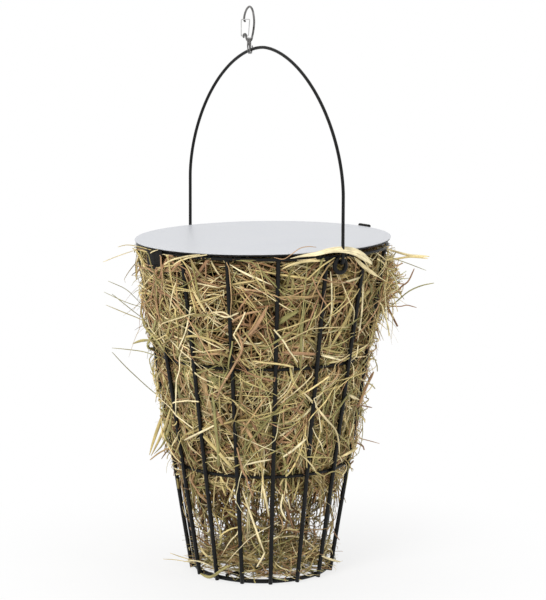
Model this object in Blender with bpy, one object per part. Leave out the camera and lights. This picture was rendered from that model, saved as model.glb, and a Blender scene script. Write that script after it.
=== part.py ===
"""Round hanging hay basket of coated wire, with a hinged sheet lid, a swinging bail and a
snap hook on a split link, filled with hay. Metres, +Z up, base on the XY plane, hinge at +Y."""

import math

import bmesh
import bpy
from mathutils import Matrix, Vector

# Cage: the rim carries the upright wires, the hoops lie inside them
rim_radius = 0.118
rim_wire = 0.0016
upright_wire = 0.0020
hoop_wire = 0.0016
base_wire = 0.0020
cage_height = 0.310
foot_radius = 0.0674
upright_count = 16
hoop_height_shares = (2 / 3, 1 / 3)

# Floor of the cage; the pitches are shares of the inner radius of the base ring
floor_wire = 0.0016
floor_pitch_share = 0.353
floor_count = 5
cross_count = 2
cross_pitch_share = 0.788

# Eyes for the bail, flat against the outside of the rim
eye_wire = 0.0020
eye_radius = 0.0063
eye_drop = 0.0075

# Bail
bail_wire = 0.0015
bail_height = 0.185
bail_shoulder = 0.055
bail_roundness = 1.8
bail_bend = 0.0025
bail_tail = 0.0060

# Lid; the overhang is measured from the rim's centre line
lid_overhang = 0.003
lid_sheet = 0.0010
lid_edge = 0.00035
bead_wire = 0.0007
bead_inset = 0.0013
hinge_rise = 0.0094

# Lid tab
tab_width = 0.0250
tab_drop = 0.0180
tab_sheet = 0.0010
tab_corner = 0.0060

# Hinge
strap_sheet = 0.0007
pin_radius = 0.0006
pin_head = 0.0012
pin_head_thickness = 0.0006
lid_knuckle = 0.0090
rim_knuckle = 0.0058
knuckle_shift = 0.0020
knuckle_rise = 0.0008
leaf_length = 0.0240
knuckle_sweep = math.radians(280)
rim_knuckle_sweep = math.radians(260)
wrap_sweep = math.radians(200)
rivet_shank = 0.0009
rivet_head = 0.0016
rivet_head_height = 0.0006
rivet_spacing = 0.0048
rivet_inset = 0.0160

# Split link and snap hook
link_place = 0.0225
link_radius = 0.0073
link_wire = 0.00062
link_pitch = 0.0017
link_turn = math.radians(48)
link_slack = 0.0009
hook_wire = 0.0010
hook_bow = 0.0039
hook_height = 0.0286
hook_turn = math.radians(10)
hook_slack = 0.0008
hook_side_shares = ((0.19, 0.18), (0.225, 0.38), (0.232, 0.56), (0.185, 0.81), (0.115, 0.95), (0.02, 1.0),
                    (-0.08, 0.95), (-0.165, 0.84), (-0.225, 0.69))
nose_drop_share = 0.577
nose_offset = 0.0049
curl_radius = 0.0019
curl_sweep = math.radians(240)
gate_wire = 0.0005
gate_half_width = 0.0056
gate_foot_share = 0.85
gate_bend = 0.0009

# Hay; each wave has its lumps around and its turn in radians over the cage's height
hay_clearance = 0.0006
hay_lump = 0.0022
hay_top_gap = 0.0020
hay_crown = 0.0050
hay_waves = ((5, 19), (9, -29), (3, 43))

# Clearance between pieces that touch
gap = 0.0003
cut_overrun = 0.0010

# Facets
ring_steps = 48
ring_sides = 8
hay_steps = 32
hay_levels = 12
hay_crown_levels = 3
lid_steps = 72

# Derived places
rim_z = base_wire + cage_height
slant = math.atan2(rim_radius - foot_radius, rim_z)
pitch_angle = 2 * math.pi / upright_count
first_angle = -pitch_angle / 4
eye_plane = rim_radius + rim_wire + eye_wire + gap
eye_z = rim_z - eye_drop
bail_pin_z = eye_z + eye_radius - eye_wire - gap - bail_wire
bail_leg = eye_plane + eye_wire + gap + bail_wire
bail_tail_x = rim_radius * math.cos(math.pi / ring_steps) - rim_wire - gap - bail_wire
lid_radius = rim_radius + lid_overhang
knuckle_outer = pin_radius + gap + strap_sheet
knuckle_mid = knuckle_outer - strap_sheet / 2
hinge_y = lid_radius + gap + knuckle_outer
hinge_z = rim_z + hinge_rise
axis_above_sheet = knuckle_rise
leaf_drop = axis_above_sheet + lid_sheet / 2 + gap + strap_sheet / 2
bead_z = -lid_sheet / 2 - gap - bead_wire
lid_front_z = rim_z + rim_wire + gap - bead_z + bead_wire
lid_slope = math.asin((hinge_z - axis_above_sheet - lid_front_z) / (hinge_y + rim_radius))


def upright_radius(z):
    """Distance of an upright wire's centre line from the axis at height z."""
    return rim_radius - (rim_z - z) * math.tan(slant)


def material(name, colour, roughness, metallic):
    made = bpy.data.materials.new(name)
    made.use_nodes = True
    shader = made.node_tree.nodes["Principled BSDF"]
    shader.inputs["Base Color"].default_value = (*colour, 1)
    shader.inputs["Roughness"].default_value = roughness
    shader.inputs["Metallic"].default_value = metallic
    made.diffuse_color = (*colour, 1)
    return made


def add(name, data, surface, matrix=None):
    if not data.materials:
        data.materials.append(surface)
    made = bpy.data.objects.new(name, data)
    bpy.context.scene.collection.objects.link(made)
    if matrix is not None:
        made.matrix_world = matrix
    return made


def finish_mesh(name, shape, sharp=math.radians(40)):
    bmesh.ops.recalc_face_normals(shape, faces=shape.faces)
    made = bpy.data.meshes.new(name)
    shape.to_mesh(made)
    shape.free()
    made.shade_smooth()
    made.set_sharp_from_angle(angle=sharp)
    return made


def ring_mesh(name, radius, wire, sides=ring_sides, steps=ring_steps, start=0, sweep=2 * math.pi):
    """Round wire bent to a ring in the XY plane, with a flat facet on top and underneath."""
    shape = bmesh.new()
    turn = Matrix.Rotation(start, 3, "Z")
    profile = []
    for i in range(sides):
        angle = 2 * math.pi * (i + 0.5) / sides + math.pi / 2
        point = turn @ Vector((radius + wire * math.cos(angle), 0, wire * math.sin(angle)))
        profile.append(shape.verts.new(point))
    edges = [shape.edges.new((profile[i - 1], profile[i])) for i in range(sides)]
    whole = sweep >= 2 * math.pi
    bmesh.ops.spin(shape, geom=profile + edges, cent=(0, 0, 0), axis=(0, 0, 1), angle=sweep,
                   steps=steps, use_merge=whole, use_duplicate=False)
    if not whole:
        bmesh.ops.holes_fill(shape, edges=[e for e in shape.edges if e.is_boundary], sides=sides)
    return finish_mesh(name, shape)


def turned_mesh(name, profile, steps):
    """Profile of (radius, height) points turned about Z; the ends lie on the axis."""
    shape = bmesh.new()
    points = [shape.verts.new((r, 0, z)) for r, z in profile]
    edges = [shape.edges.new(pair) for pair in zip(points, points[1:])]
    bmesh.ops.spin(shape, geom=points + edges, cent=(0, 0, 0), axis=(0, 0, 1),
                   angle=2 * math.pi, steps=steps, use_merge=True, use_duplicate=False)
    bmesh.ops.remove_doubles(shape, verts=shape.verts, dist=gap / 100)
    return finish_mesh(name, shape)


def rod_mesh(name, radius, length, sides=12):
    shape = bmesh.new()
    bmesh.ops.create_cone(shape, cap_ends=True, segments=sides, radius1=radius, radius2=radius, depth=length)
    return finish_mesh(name, shape)


def tube(name, points, wire, surface, origin, resolution=2, cyclic=False):
    """Round wire along a chain of points, with its origin at a given place."""
    line = bpy.data.curves.new(name, "CURVE")
    line.dimensions = "3D"
    line.bevel_depth = wire
    line.bevel_resolution = resolution
    line.use_fill_caps = not cyclic
    spline = line.splines.new("POLY")
    spline.points.add(len(points) - 1)
    for target, point in zip(spline.points, points):
        target.co = (*(Vector(point) - Vector(origin)), 1)
    spline.use_cyclic_u = cyclic
    spline.use_smooth = True
    return add(name, line, surface, Matrix.Translation(origin))


def arc(centre, radius, start, sweep, steps):
    """Points along an arc in a plane, as pairs."""
    cx, cy = centre
    angles = [start + sweep * i / steps for i in range(steps + 1)]
    return [(cx + radius * math.cos(a), cy + radius * math.sin(a)) for a in angles]


def rounded(corners, radius, steps=6, closed=False):
    """Chain of points with each corner turned at a radius."""
    corners = [Vector(corner) for corner in corners]
    count = len(corners)
    chain = []
    for i, corner in enumerate(corners):
        if not closed and i in (0, count - 1):
            chain.append(corner)
            continue
        before = (corners[i - 1] - corner).normalized()
        after = (corners[(i + 1) % count] - corner).normalized()
        half = before.angle(after) / 2
        centre = corner + (before + after).normalized() * radius / math.sin(half)
        first = corner + before * radius / math.tan(half) - centre
        last = corner + after * radius / math.tan(half) - centre
        turn = math.pi - 2 * half
        for k in range(steps + 1):
            done = turn * k / steps
            chain.append(centre + (first * math.sin(turn - done) + last * math.sin(done)) / math.sin(turn))
    return chain


def smooth(points, steps):
    """Catmull-Rom curve through points, without the first and the last of them."""
    chain = []
    for i in range(1, len(points) - 2):
        p0, p1, p2, p3 = (Vector(points[i + k]) for k in (-1, 0, 1, 2))
        for k in range(steps):
            t = k / steps
            chain.append(0.5 * (2 * p1 + (p2 - p0) * t + (2 * p0 - 5 * p1 + 4 * p2 - p3) * t * t
                                + (3 * p1 - p0 - 3 * p2 + p3) * t * t * t))
    chain.append(Vector(points[-2]))
    return chain


def strap_mesh(name, path, thickness, x_low, x_high):
    """Sheet of even thickness that follows a path of (y, z) points, extruded along X."""
    path = [Vector(point) for point in path]
    sides = ([], [])
    for i, point in enumerate(path):
        along = (path[min(i + 1, len(path) - 1)] - path[max(i - 1, 0)]).normalized()
        across = Vector((-along.y, along.x)) * thickness / 2
        sides[0].append(point + across)
        sides[1].append(point - across)
    outline = sides[0] + sides[1][::-1]
    shape = bmesh.new()
    low = [shape.verts.new((x_low, y, z)) for y, z in outline]
    high = [shape.verts.new((x_high, y, z)) for y, z in outline]
    count = len(outline)
    half = count // 2
    for i in range(count):
        j = (i + 1) % count
        shape.faces.new((low[i], low[j], high[j], high[i]))
    for i in range(half - 1):
        for ring in (low, high):
            shape.faces.new((ring[i], ring[i + 1], ring[count - 2 - i], ring[count - 1 - i]))
    return finish_mesh(name, shape)


def cut(target, cutter_mesh, matrix):
    """Bore a hole in an object; the cutter is kept hidden as a guide."""
    cutter = bpy.data.objects.new(target.name + "_cut", cutter_mesh)
    bpy.context.scene.collection.objects.link(cutter)
    cutter.matrix_world = matrix
    cutter.hide_render = True
    cutter.display_type = "WIRE"
    hole = target.modifiers.new("Hole", "BOOLEAN")
    hole.operation = "DIFFERENCE"
    hole.object = cutter


for item in list(bpy.data.objects):
    bpy.data.objects.remove(item)

black = material("black_coat", (0.018, 0.018, 0.020), 0.42, 0.0)
satin = material("satin_sheet", (0.62, 0.63, 0.66), 0.34, 0.9)
bright = material("bright_wire", (0.72, 0.72, 0.72), 0.16, 1.0)
straw = material("hay", (0.36, 0.27, 0.11), 0.9, 0.0)


def cage():
    rim = ring_mesh("rim_ring", rim_radius, rim_wire, start=first_angle)
    add("rim_ring", rim, black, Matrix.Translation((0, 0, rim_z)))
    for name, share in zip(("upper_hoop", "lower_hoop"), hoop_height_shares):
        z = base_wire + cage_height * share
        radius = upright_radius(z) - (upright_wire + hoop_wire + gap) / math.cos(slant)
        hoop = ring_mesh(name, radius, hoop_wire, start=first_angle)
        add(name, hoop, black, Matrix.Translation((0, 0, z)))

    top = rim_wire + gap
    foot_lift = upright_wire * math.sin(slant)
    length = (rim_z - foot_lift) / math.cos(slant) - top
    wire = rod_mesh("upright", upright_wire, length)
    lean = Matrix.Translation((rim_radius, 0, rim_z)) @ Matrix.Rotation(slant, 4, "Y")
    middle = lean @ Matrix.Translation((0, 0, -top - length / 2))
    for i in range(upright_count):
        turn = Matrix.Rotation(first_angle + i * pitch_angle, 4, "Z")
        add(f"upright_{i:02d}", wire, black, turn @ middle)


def floor():
    radius = upright_radius(base_wire) - (upright_wire + base_wire + gap) / math.cos(slant)
    ring = ring_mesh("base_ring", radius, base_wire, start=first_angle)
    add("base_ring", ring, black, Matrix.Translation((0, 0, base_wire)))
    inside = radius * math.cos(math.pi / ring_steps) - base_wire - gap

    def wires(stem, count, spacing, z, turn):
        for i in range(count):
            offset = (i - (count - 1) / 2) * spacing
            half = math.sqrt(inside ** 2 - (abs(offset) + floor_wire) ** 2)
            mesh = rod_mesh(f"{stem}_{i}", floor_wire, 2 * half, sides=10)
            place = Matrix.Rotation(turn, 4, "Z") @ Matrix.Translation((0, offset, z))
            add(f"{stem}_{i}", mesh, black, place @ Matrix.Rotation(math.pi / 2, 4, "Y"))

    wires("floor_wire", floor_count, floor_pitch_share * inside, base_wire, 0)
    wires("cross_wire", cross_count, cross_pitch_share * inside, base_wire + 2 * floor_wire + gap, math.pi / 2)


def eyes():
    for name, side in (("eye_right", 1), ("eye_left", -1)):
        ring = ring_mesh(name, eye_radius, eye_wire, sides=8, steps=24)
        place = Matrix.Translation((side * eye_plane, 0, eye_z))
        add(name, ring, black, place @ Matrix.Rotation(math.pi / 2, 4, "Y"))


def bail_arch(x):
    """Height of the bail's centre line above the rim at a distance x from the middle."""
    share = 1 - (abs(x) / bail_leg) ** bail_roundness
    return bail_shoulder + (bail_height - bail_shoulder) * share ** (1 / bail_roundness)


def bail():
    def hooked_end(side):
        corners = [(side * bail_tail_x, 0, bail_pin_z + bail_tail), (side * bail_tail_x, 0, bail_pin_z),
                   (side * bail_leg, 0, bail_pin_z), (side * bail_leg, 0, rim_z + bail_shoulder / 2)]
        return rounded(corners, bail_bend)

    steps = 44
    arch = []
    for i in range(steps + 1):
        angle = math.pi * i / steps
        reach = abs(math.cos(angle)) ** (2 / bail_roundness) * bail_leg
        x = math.copysign(reach, math.cos(angle))
        arch.append(Vector((x, 0, rim_z + bail_arch(x))))
    points = hooked_end(1) + arch + hooked_end(-1)[::-1]
    tube("bail", points, bail_wire, black, (0, 0, bail_pin_z))


def lid():
    hinge = Matrix.Translation((0, hinge_y, hinge_z)) @ Matrix.Rotation(lid_slope, 4, "X")
    centre = Matrix.Translation((0, -hinge_y, -axis_above_sheet))

    half = lid_sheet / 2
    profile = [(0, -half), (lid_radius - lid_edge, -half), (lid_radius, lid_edge - half),
               (lid_radius, half - lid_edge), (lid_radius - lid_edge, half), (0, half)]
    sheet = turned_mesh("lid_plate", profile, lid_steps)
    sheet.transform(centre)
    plate = add("lid_plate", sheet, satin, hinge)

    bead_radius = lid_radius - bead_inset
    half_break = math.asin((lid_knuckle + knuckle_shift) / bead_radius)
    bead = ring_mesh("lid_bead", bead_radius, bead_wire, sides=8, start=math.pi / 2 + half_break,
                     sweep=2 * math.pi - 2 * half_break)
    bead.transform(centre @ Matrix.Translation((0, 0, bead_z)))
    add("lid_bead", bead, black, hinge)

    leaf_low = -(lid_knuckle + rim_knuckle + gap) / 2 - knuckle_shift
    leaf_high = leaf_low + lid_knuckle
    bend = lid_radius - hinge_y - strap_sheet / 2
    touch = math.atan2(-leaf_drop, bend) + math.acos(knuckle_mid / math.hypot(leaf_drop, bend))
    path = [(-leaf_length, -leaf_drop), (bend, -leaf_drop)]
    path += arc((0, 0), knuckle_mid, touch, knuckle_sweep, 20)
    strap = strap_mesh("hinge_lid_leaf", path, strap_sheet, leaf_low, leaf_high)
    leaf = add("hinge_lid_leaf", strap, black, hinge)

    seat = -leaf_drop - strap_sheet / 2 - gap
    top = half - axis_above_sheet
    profile = [(0, seat - rivet_head_height), (rivet_shank, seat - rivet_head_height),
               (rivet_head, seat - rivet_head_height / 2), (rivet_head, seat), (rivet_shank, seat),
               (rivet_shank, top), (0, top)]
    bores = bmesh.new()
    for i, side in enumerate((-1, 1)):
        x = (leaf_low + leaf_high + side * rivet_spacing) / 2
        spot = Matrix.Translation((x, -rivet_inset, 0))
        rivet = turned_mesh(f"hinge_rivet_{i}", profile, 16)
        rivet.transform(spot)
        add(f"hinge_rivet_{i}", rivet, satin, hinge)
        bmesh.ops.create_cone(bores, cap_ends=True, segments=16, radius1=rivet_shank + gap,
                              radius2=rivet_shank + gap, depth=2 * (leaf_drop + cut_overrun), matrix=spot)
    holes = finish_mesh("rivet_bores", bores)
    cut(plate, holes, hinge)
    cut(leaf, holes, hinge)


def tab():
    """Curved plate that hangs from the front edge of the lid."""
    hinge = Matrix.Translation((0, hinge_y, hinge_z)) @ Matrix.Rotation(lid_slope, 4, "X")
    inner = lid_radius - bead_inset + bead_wire + gap
    top = -lid_sheet / 2 - gap
    columns = 16
    shape = bmesh.new()
    rows = []
    for i in range(columns + 1):
        across = -math.cos(math.pi * i / columns) * tab_width / 2
        past = max(0, abs(across) - (tab_width / 2 - tab_corner))
        bottom = top - tab_drop + tab_corner - math.sqrt(max(0, tab_corner ** 2 - past ** 2))
        angle = across / inner - math.pi / 2
        row = []
        for radius, z in ((inner, top), (inner + tab_sheet, top), (inner + tab_sheet, bottom), (inner, bottom)):
            row.append(shape.verts.new((radius * math.cos(angle), radius * math.sin(angle) - hinge_y,
                                        z - axis_above_sheet)))
        rows.append(row)
    for before, after in zip(rows, rows[1:]):
        for k in range(4):
            shape.faces.new((before[k], before[k - 1], after[k - 1], after[k]))
    shape.faces.new(rows[0])
    shape.faces.new(rows[-1][::-1])
    add("lid_tab", finish_mesh("lid_tab", shape), black, hinge)


def rim_hinge():
    """Fixed leaf that wraps the rim, and the hinge pin."""
    low = (lid_knuckle + gap - rim_knuckle) / 2 - knuckle_shift
    reach = low + rim_knuckle
    bow = rim_radius - math.sqrt(rim_radius ** 2 - reach ** 2) * math.cos(math.pi / ring_steps)
    wrap = rim_wire + gap + strap_sheet / 2 + bow / 2
    path = arc((rim_radius - bow / 2, rim_z), wrap, -wrap_sweep, wrap_sweep, 14)
    path += arc((hinge_y, hinge_z), knuckle_mid, math.pi, -rim_knuckle_sweep, 18)
    mesh = strap_mesh("hinge_rim_leaf", path, strap_sheet, low, low + rim_knuckle)
    mesh.transform(Matrix.Translation((0, -hinge_y, -hinge_z)))
    add("hinge_rim_leaf", mesh, black, Matrix.Translation((0, hinge_y, hinge_z)))

    half = (lid_knuckle + rim_knuckle + gap) / 2 + gap
    end = half + pin_head_thickness
    profile = [(0, -end), (pin_head, -end), (pin_head, -half), (pin_radius, -half),
               (pin_radius, half), (pin_head, half), (pin_head, end), (0, end)]
    place = Matrix.Translation((-knuckle_shift, hinge_y, hinge_z)) @ Matrix.Rotation(math.pi / 2, 4, "Y")
    add("hinge_pin", turned_mesh("hinge_pin", profile, 12), black, place)


def link_and_hook():
    seat_x = -link_place
    seat_z = rim_z + bail_arch(seat_x)
    centre = Vector((seat_x, 0, seat_z - bail_wire - link_slack + link_radius - link_wire))
    across = Vector((math.cos(link_turn), math.sin(link_turn), 0))
    along = Vector((-math.sin(link_turn), math.cos(link_turn), 0))
    up = Vector((0, 0, 1))
    steps = 28
    points = []
    for i in range(2 * steps + 1):
        angle = 2 * math.pi * i / steps
        points.append(centre + link_radius * (along * math.cos(angle) + up * math.sin(angle))
                      + across * link_pitch * (i / steps - 1))
    tube("split_link", points, link_wire, bright, (seat_x, 0, seat_z), resolution=1)

    pivot = centre + up * link_radius - across * link_pitch / 4
    reach = Vector((math.cos(hook_turn), math.sin(hook_turn), 0))
    side = up.cross(reach)
    bow = pivot + up * hook_slack

    def place(u, w):
        return bow + reach * u + up * w

    curl = (-hook_bow - curl_radius, curl_radius / 2)
    nose = (-nose_offset, hook_height * nose_drop_share)
    line = arc(curl, curl_radius, curl_sweep, -curl_sweep, 10)
    line += arc((0, 0), hook_bow, math.pi, math.pi, 12)
    sides = [(u * hook_height, w * hook_height) for u, w in hook_side_shares]
    nose_left = (nose[0] - curl_radius, nose[1])
    knots = [(hook_bow, -hook_bow), (hook_bow, 0), *sides, nose_left, (nose_left[0], nose[1] - hook_bow)]
    line += [tuple(point) for point in smooth(knots, 5)][1:]
    line += arc(nose, curl_radius, math.pi, math.pi / 2, 5)[1:]
    tube("hook_body", [place(u, w) for u, w in line], hook_wire, bright, pivot)

    foot = place(*curl)
    tip = place(*nose)
    foot_half_width = gate_half_width * gate_foot_share
    corners = [foot - side * foot_half_width, foot + side * foot_half_width,
               tip + side * gate_half_width, tip - side * gate_half_width]
    tube("hook_gate", rounded(corners, gate_bend, steps=3, closed=True), gate_wire, bright, foot,
         resolution=1, cyclic=True)
    print("Link seat", tuple(round(v, 5) for v in (seat_x, 0, seat_z)))
    print("Hook pivot", tuple(round(v, 5) for v in pivot), "axis", tuple(round(v, 5) for v in side))
    print("Gate pivot", tuple(round(v, 5) for v in foot))
    print("Hook top", round(max(place(u, w).z for u, w in line) + hook_wire, 5))


def hay():
    """Loose plug of hay inside the hoops, lumpy all round, with a low crown."""
    bottom = base_wire + 3 * floor_wire + 2 * gap
    top = rim_z - hay_top_gap
    hoops = (upright_wire + 2 * hoop_wire + gap) / math.cos(slant)
    shape = bmesh.new()
    rings = []

    def ring(z, share, lift):
        made = []
        for i in range(hay_steps):
            angle = 2 * math.pi * i / hay_steps
            wave = sum(math.sin(lumps * angle + turn * z / cage_height) for lumps, turn in hay_waves)
            sink = hay_clearance + hay_lump * (0.5 + wave / (2 * len(hay_waves)))
            radius = (upright_radius(z) - hoops - sink) * share
            made.append(shape.verts.new((radius * math.cos(angle), radius * math.sin(angle), z + lift)))
        rings.append(made)

    for level in range(hay_levels + 1):
        ring(bottom + (top - bottom) * level / hay_levels, 1, 0)
    for level in range(1, hay_crown_levels + 1):
        share = 1 - level / (hay_crown_levels + 1)
        ring(top, share, hay_crown * (1 - share ** 2))
    for low, high in zip(rings, rings[1:]):
        for i in range(hay_steps):
            shape.faces.new((low[i - 1], low[i], high[i], high[i - 1]))
    shape.faces.new(rings[0][::-1])
    shape.faces.new(rings[-1])
    add("hay_fill", finish_mesh("hay_fill", shape), straw)


cage()
floor()
eyes()
bail()
lid()
tab()
rim_hinge()
link_and_hook()
hay()
print("Lid hinge", round(hinge_y, 5), round(hinge_z, 5), "slope", round(math.degrees(lid_slope), 3))
print("Bail pin", round(bail_pin_z, 5), "leg", round(bail_leg, 5), "eye", round(eye_plane, 5), round(eye_z, 5))
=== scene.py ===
import math
import bpy
import numpy as np
from mathutils import Matrix, Vector


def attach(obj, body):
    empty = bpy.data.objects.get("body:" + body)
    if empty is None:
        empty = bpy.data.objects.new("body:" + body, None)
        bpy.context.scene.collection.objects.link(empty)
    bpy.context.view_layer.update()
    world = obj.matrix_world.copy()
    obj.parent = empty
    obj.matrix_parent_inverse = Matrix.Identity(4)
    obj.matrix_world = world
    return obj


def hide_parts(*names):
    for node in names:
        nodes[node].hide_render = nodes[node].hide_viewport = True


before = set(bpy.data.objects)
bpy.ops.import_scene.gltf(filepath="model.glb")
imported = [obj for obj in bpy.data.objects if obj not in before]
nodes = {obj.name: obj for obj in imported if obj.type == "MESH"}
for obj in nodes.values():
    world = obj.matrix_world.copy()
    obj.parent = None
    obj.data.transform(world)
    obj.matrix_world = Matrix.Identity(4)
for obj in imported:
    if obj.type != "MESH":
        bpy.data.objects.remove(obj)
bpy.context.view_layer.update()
scene = bpy.context.scene

# Camera, light and white studio
photo = {"width": 546, "height": 600, "azimuth": 55.06, "elevation": 7.0, "distance": 2.015,
         "focalPixels": 2130.0, "aimHeight": 0.312, "aimPixel": (262.7, 243.65), "roll": 0.15,
         "sensor": 36, "farthest": 50}


def placeCamera(p):
    # the camera looks at the middle of the rim; the lens shift puts that point on its pixel
    az, el = math.radians(p["azimuth"]), math.radians(p["elevation"])
    away = Vector((math.sin(az) * math.cos(el), -math.cos(az) * math.cos(el), math.sin(el)))
    made = bpy.data.objects.new("camera", bpy.data.cameras.new("camera"))
    scene.collection.objects.link(made)
    turn = (-away).to_track_quat("-Z", "Y").to_matrix().to_4x4()
    place = Matrix.Translation(Vector((0, 0, p["aimHeight"])) + away * p["distance"])
    made.matrix_world = place @ turn @ Matrix.Rotation(math.radians(p["roll"]), 4, "Z")
    made.data.sensor_width = p["sensor"]
    made.data.lens = p["sensor"] * p["focalPixels"] / p["height"]
    made.data.shift_x = (p["width"] / 2 - p["aimPixel"][0]) / p["height"]
    made.data.shift_y = (p["aimPixel"][1] - p["height"] / 2) / p["height"]
    made.data.clip_end = p["farthest"]
    scene.camera = made
    return made


camera = placeCamera(photo)
scene.view_settings.view_transform = "Standard"

studio = {"ambient": 0.46, "white": (1, 1, 1, 1)}
lamps = {  # place, height that it is aimed at, size, power
    "keyLight": ((0.9, -1.9, 1.75), 0.2, 1.25, 37),
    "fillLight": ((1.9, 0.9, 0.7), 0.2, 0.9, 8),
    "topLight": ((-0.5, 0.4, 2.0), 0.3, 1.6, 9)}


def areaLight(name, place, aimHeight, size, power):
    lamp = bpy.data.objects.new(name, bpy.data.lights.new(name, "AREA"))
    lamp.data.shape = "DISK"
    lamp.data.size = size
    lamp.data.energy = power
    lamp.visible_glossy = False  # gloss shows the white studio, not the lamps, so the lid never flares
    turn = (Vector((0, 0, aimHeight)) - Vector(place)).to_track_quat("-Z", "Y").to_matrix().to_4x4()
    lamp.matrix_world = Matrix.Translation(place) @ turn
    scene.collection.objects.link(lamp)


for name, values in lamps.items():
    areaLight(name, *values)


def feed(tree, target, inputs):
    # each input gets a plain value, or a link from the output that feeds it
    for key, value in inputs.items():
        if isinstance(value, bpy.types.NodeSocket):
            tree.links.new(value, target.inputs[key])
        else:
            target.inputs[key].default_value = value
    return target


def node(tree, kind, inputs=None, **settings):
    made = tree.nodes.new(kind)
    for key, value in settings.items():
        setattr(made, key, value)
    return feed(tree, made, inputs or {})


def maths(tree, operation, *sources):
    return node(tree, "ShaderNodeMath", dict(enumerate(sources)), operation=operation).outputs[0]


def seenDirectly(tree):
    # one for the camera, gloss and glass, and none for the light that falls on things
    path = node(tree, "ShaderNodeLightPath").outputs
    sight = maths(tree, "MAXIMUM", path["Is Camera Ray"], path["Is Glossy Ray"])
    return maths(tree, "MAXIMUM", sight, path["Is Transmission Ray"])


def whiteStudio():
    # the world is white to the camera, to gloss and through glass; things are lit by a plain, lower level
    world = bpy.data.worlds.new("studioWorld")
    scene.world = world
    world.use_nodes = True
    tree = world.node_tree
    plain = {"Color": studio["white"], "Strength": studio["ambient"]}
    ambient = feed(tree, tree.nodes["Background"], plain)
    white = node(tree, "ShaderNodeBackground", {"Color": studio["white"]})
    shaders = {"Fac": seenDirectly(tree), 1: ambient.outputs[0], 2: white.outputs[0]}
    choose = node(tree, "ShaderNodeMixShader", shaders)
    feed(tree, tree.nodes["World Output"], {"Surface": choose.outputs[0]})


whiteStudio()
print("camera and light are set")


# Numpy surfaces
anyPhase = 6.3  # a wave starts anywhere in its turn


def unit(v):
    return v / np.maximum(np.linalg.norm(v, axis=-1, keepdims=True), 1e-12)


def around(radius, angle, z):
    # points at a radius, an angle and a height about the upright axis
    return np.stack(np.broadcast_arrays(radius * np.cos(angle), radius * np.sin(angle), z), -1)


def sweep(paths, widths, depths, hints, sides, closed=False):
    # an oval carried along each path: point = path + side*width/2*cos(a) + face*depth/2*sin(a),
    # where side = tangent x hint and face = side x tangent
    ahead = np.roll(paths, -1, 1) - np.roll(paths, 1, 1)
    if not closed:
        ahead[:, 0] = paths[:, 1] - paths[:, 0]
        ahead[:, -1] = paths[:, -1] - paths[:, -2]
    tangent = unit(ahead)
    side = unit(np.cross(tangent, hints))
    face = np.cross(side, tangent)
    a = 2 * np.pi * (np.arange(sides) + 0.5) / sides
    across = (widths[..., None] / 2 * np.cos(a))[..., None] * side[:, :, None]
    out = (depths[..., None] / 2 * np.sin(a))[..., None] * face[:, :, None]
    return paths[:, :, None] + across + out


def ringFaces(rings, sides, closed=False):
    # quads between every ring of points and the next
    i = np.arange(rings if closed else rings - 1)[:, None]
    j = np.arange(sides)[None, :]
    i2, j2 = (i + 1) % rings, (j + 1) % sides
    corners = (i * sides + j, i2 * sides + j, i2 * sides + j2, i * sides + j2)
    return np.stack(np.broadcast_arrays(*corners), -1).reshape(-1, 4)


def capFaces(sides):
    # a strip of quads across the first ring
    k = np.arange(sides // 2 - 1)
    return np.stack([k, k + 1, sides - 2 - k, sides - 1 - k], -1)


def sweepFaces(count, steps, sides, closed=False):
    quads = ringFaces(steps, sides, closed)
    if not closed:
        cap = capFaces(sides)
        quads = np.concatenate([quads, cap, cap[:, ::-1] + (steps - 1) * sides])
    shift = np.arange(count)[:, None, None] * steps * sides
    return (quads[None] + shift).reshape(-1, 4)


def makePiece(name, points, quads, finish, body):
    # a mesh from arrays of points and of quads, riding a body
    mesh = bpy.data.meshes.new(name)
    mesh.vertices.add(len(points))
    mesh.vertices.foreach_set("co", points.astype(np.float32).ravel())
    mesh.loops.add(quads.size)
    mesh.loops.foreach_set("vertex_index", quads.astype(np.int32).ravel())
    mesh.polygons.add(len(quads))
    mesh.polygons.foreach_set("loop_start", np.arange(0, quads.size, 4, dtype=np.int32))
    mesh.update(calc_edges=True)
    mesh.validate()
    mesh.polygons.foreach_set("use_smooth", np.ones(len(mesh.polygons), bool))
    mesh.materials.append(finish)
    piece = bpy.data.objects.new(name, mesh)
    scene.collection.objects.link(piece)
    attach(piece, body)
    return piece


wireEnd = 0.62  # how wide the last ring of an open wire is, as a share of the wire


def wirePiece(name, paths, wire, hints, sides, finish, body, closed=False):
    # round wire along each path, its open ends rounded over the last ring
    paths = np.asarray(paths, float)
    count, steps = paths.shape[:2]
    width = np.full((count, steps), 2.0 * wire)
    if not closed:
        width[:, [0, -1]] *= wireEnd
    hints = np.broadcast_to(np.asarray(hints, float), paths.shape)
    rings = sweep(paths, width, width, hints, sides, closed)
    quads = sweepFaces(count, steps, sides, closed)
    return makePiece(name, rings.reshape(-1, 3), quads, finish, body)


def catmull(knots, steps):
    # smooth curve through all the knots: each span is the usual cubic of its four neighbours
    k = np.asarray(knots, float)
    k = np.concatenate([2 * k[:1] - k[1:2], k, 2 * k[-1:] - k[-2:-1]])
    p0, p1, p2, p3 = (k[i:len(k) - 3 + i, None] for i in range(4))
    t = np.linspace(0, 1, steps, endpoint=False)[None, :, None]
    square = (2 * p0 - 5 * p1 + 4 * p2 - p3) * t ** 2
    cube = (3 * p1 - p0 - 3 * p2 + p3) * t ** 3
    curve = 0.5 * (2 * p1 + (p2 - p0) * t + square + cube)
    return np.concatenate([curve.reshape(-1, k.shape[1]), k[-2:-1]])


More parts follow.
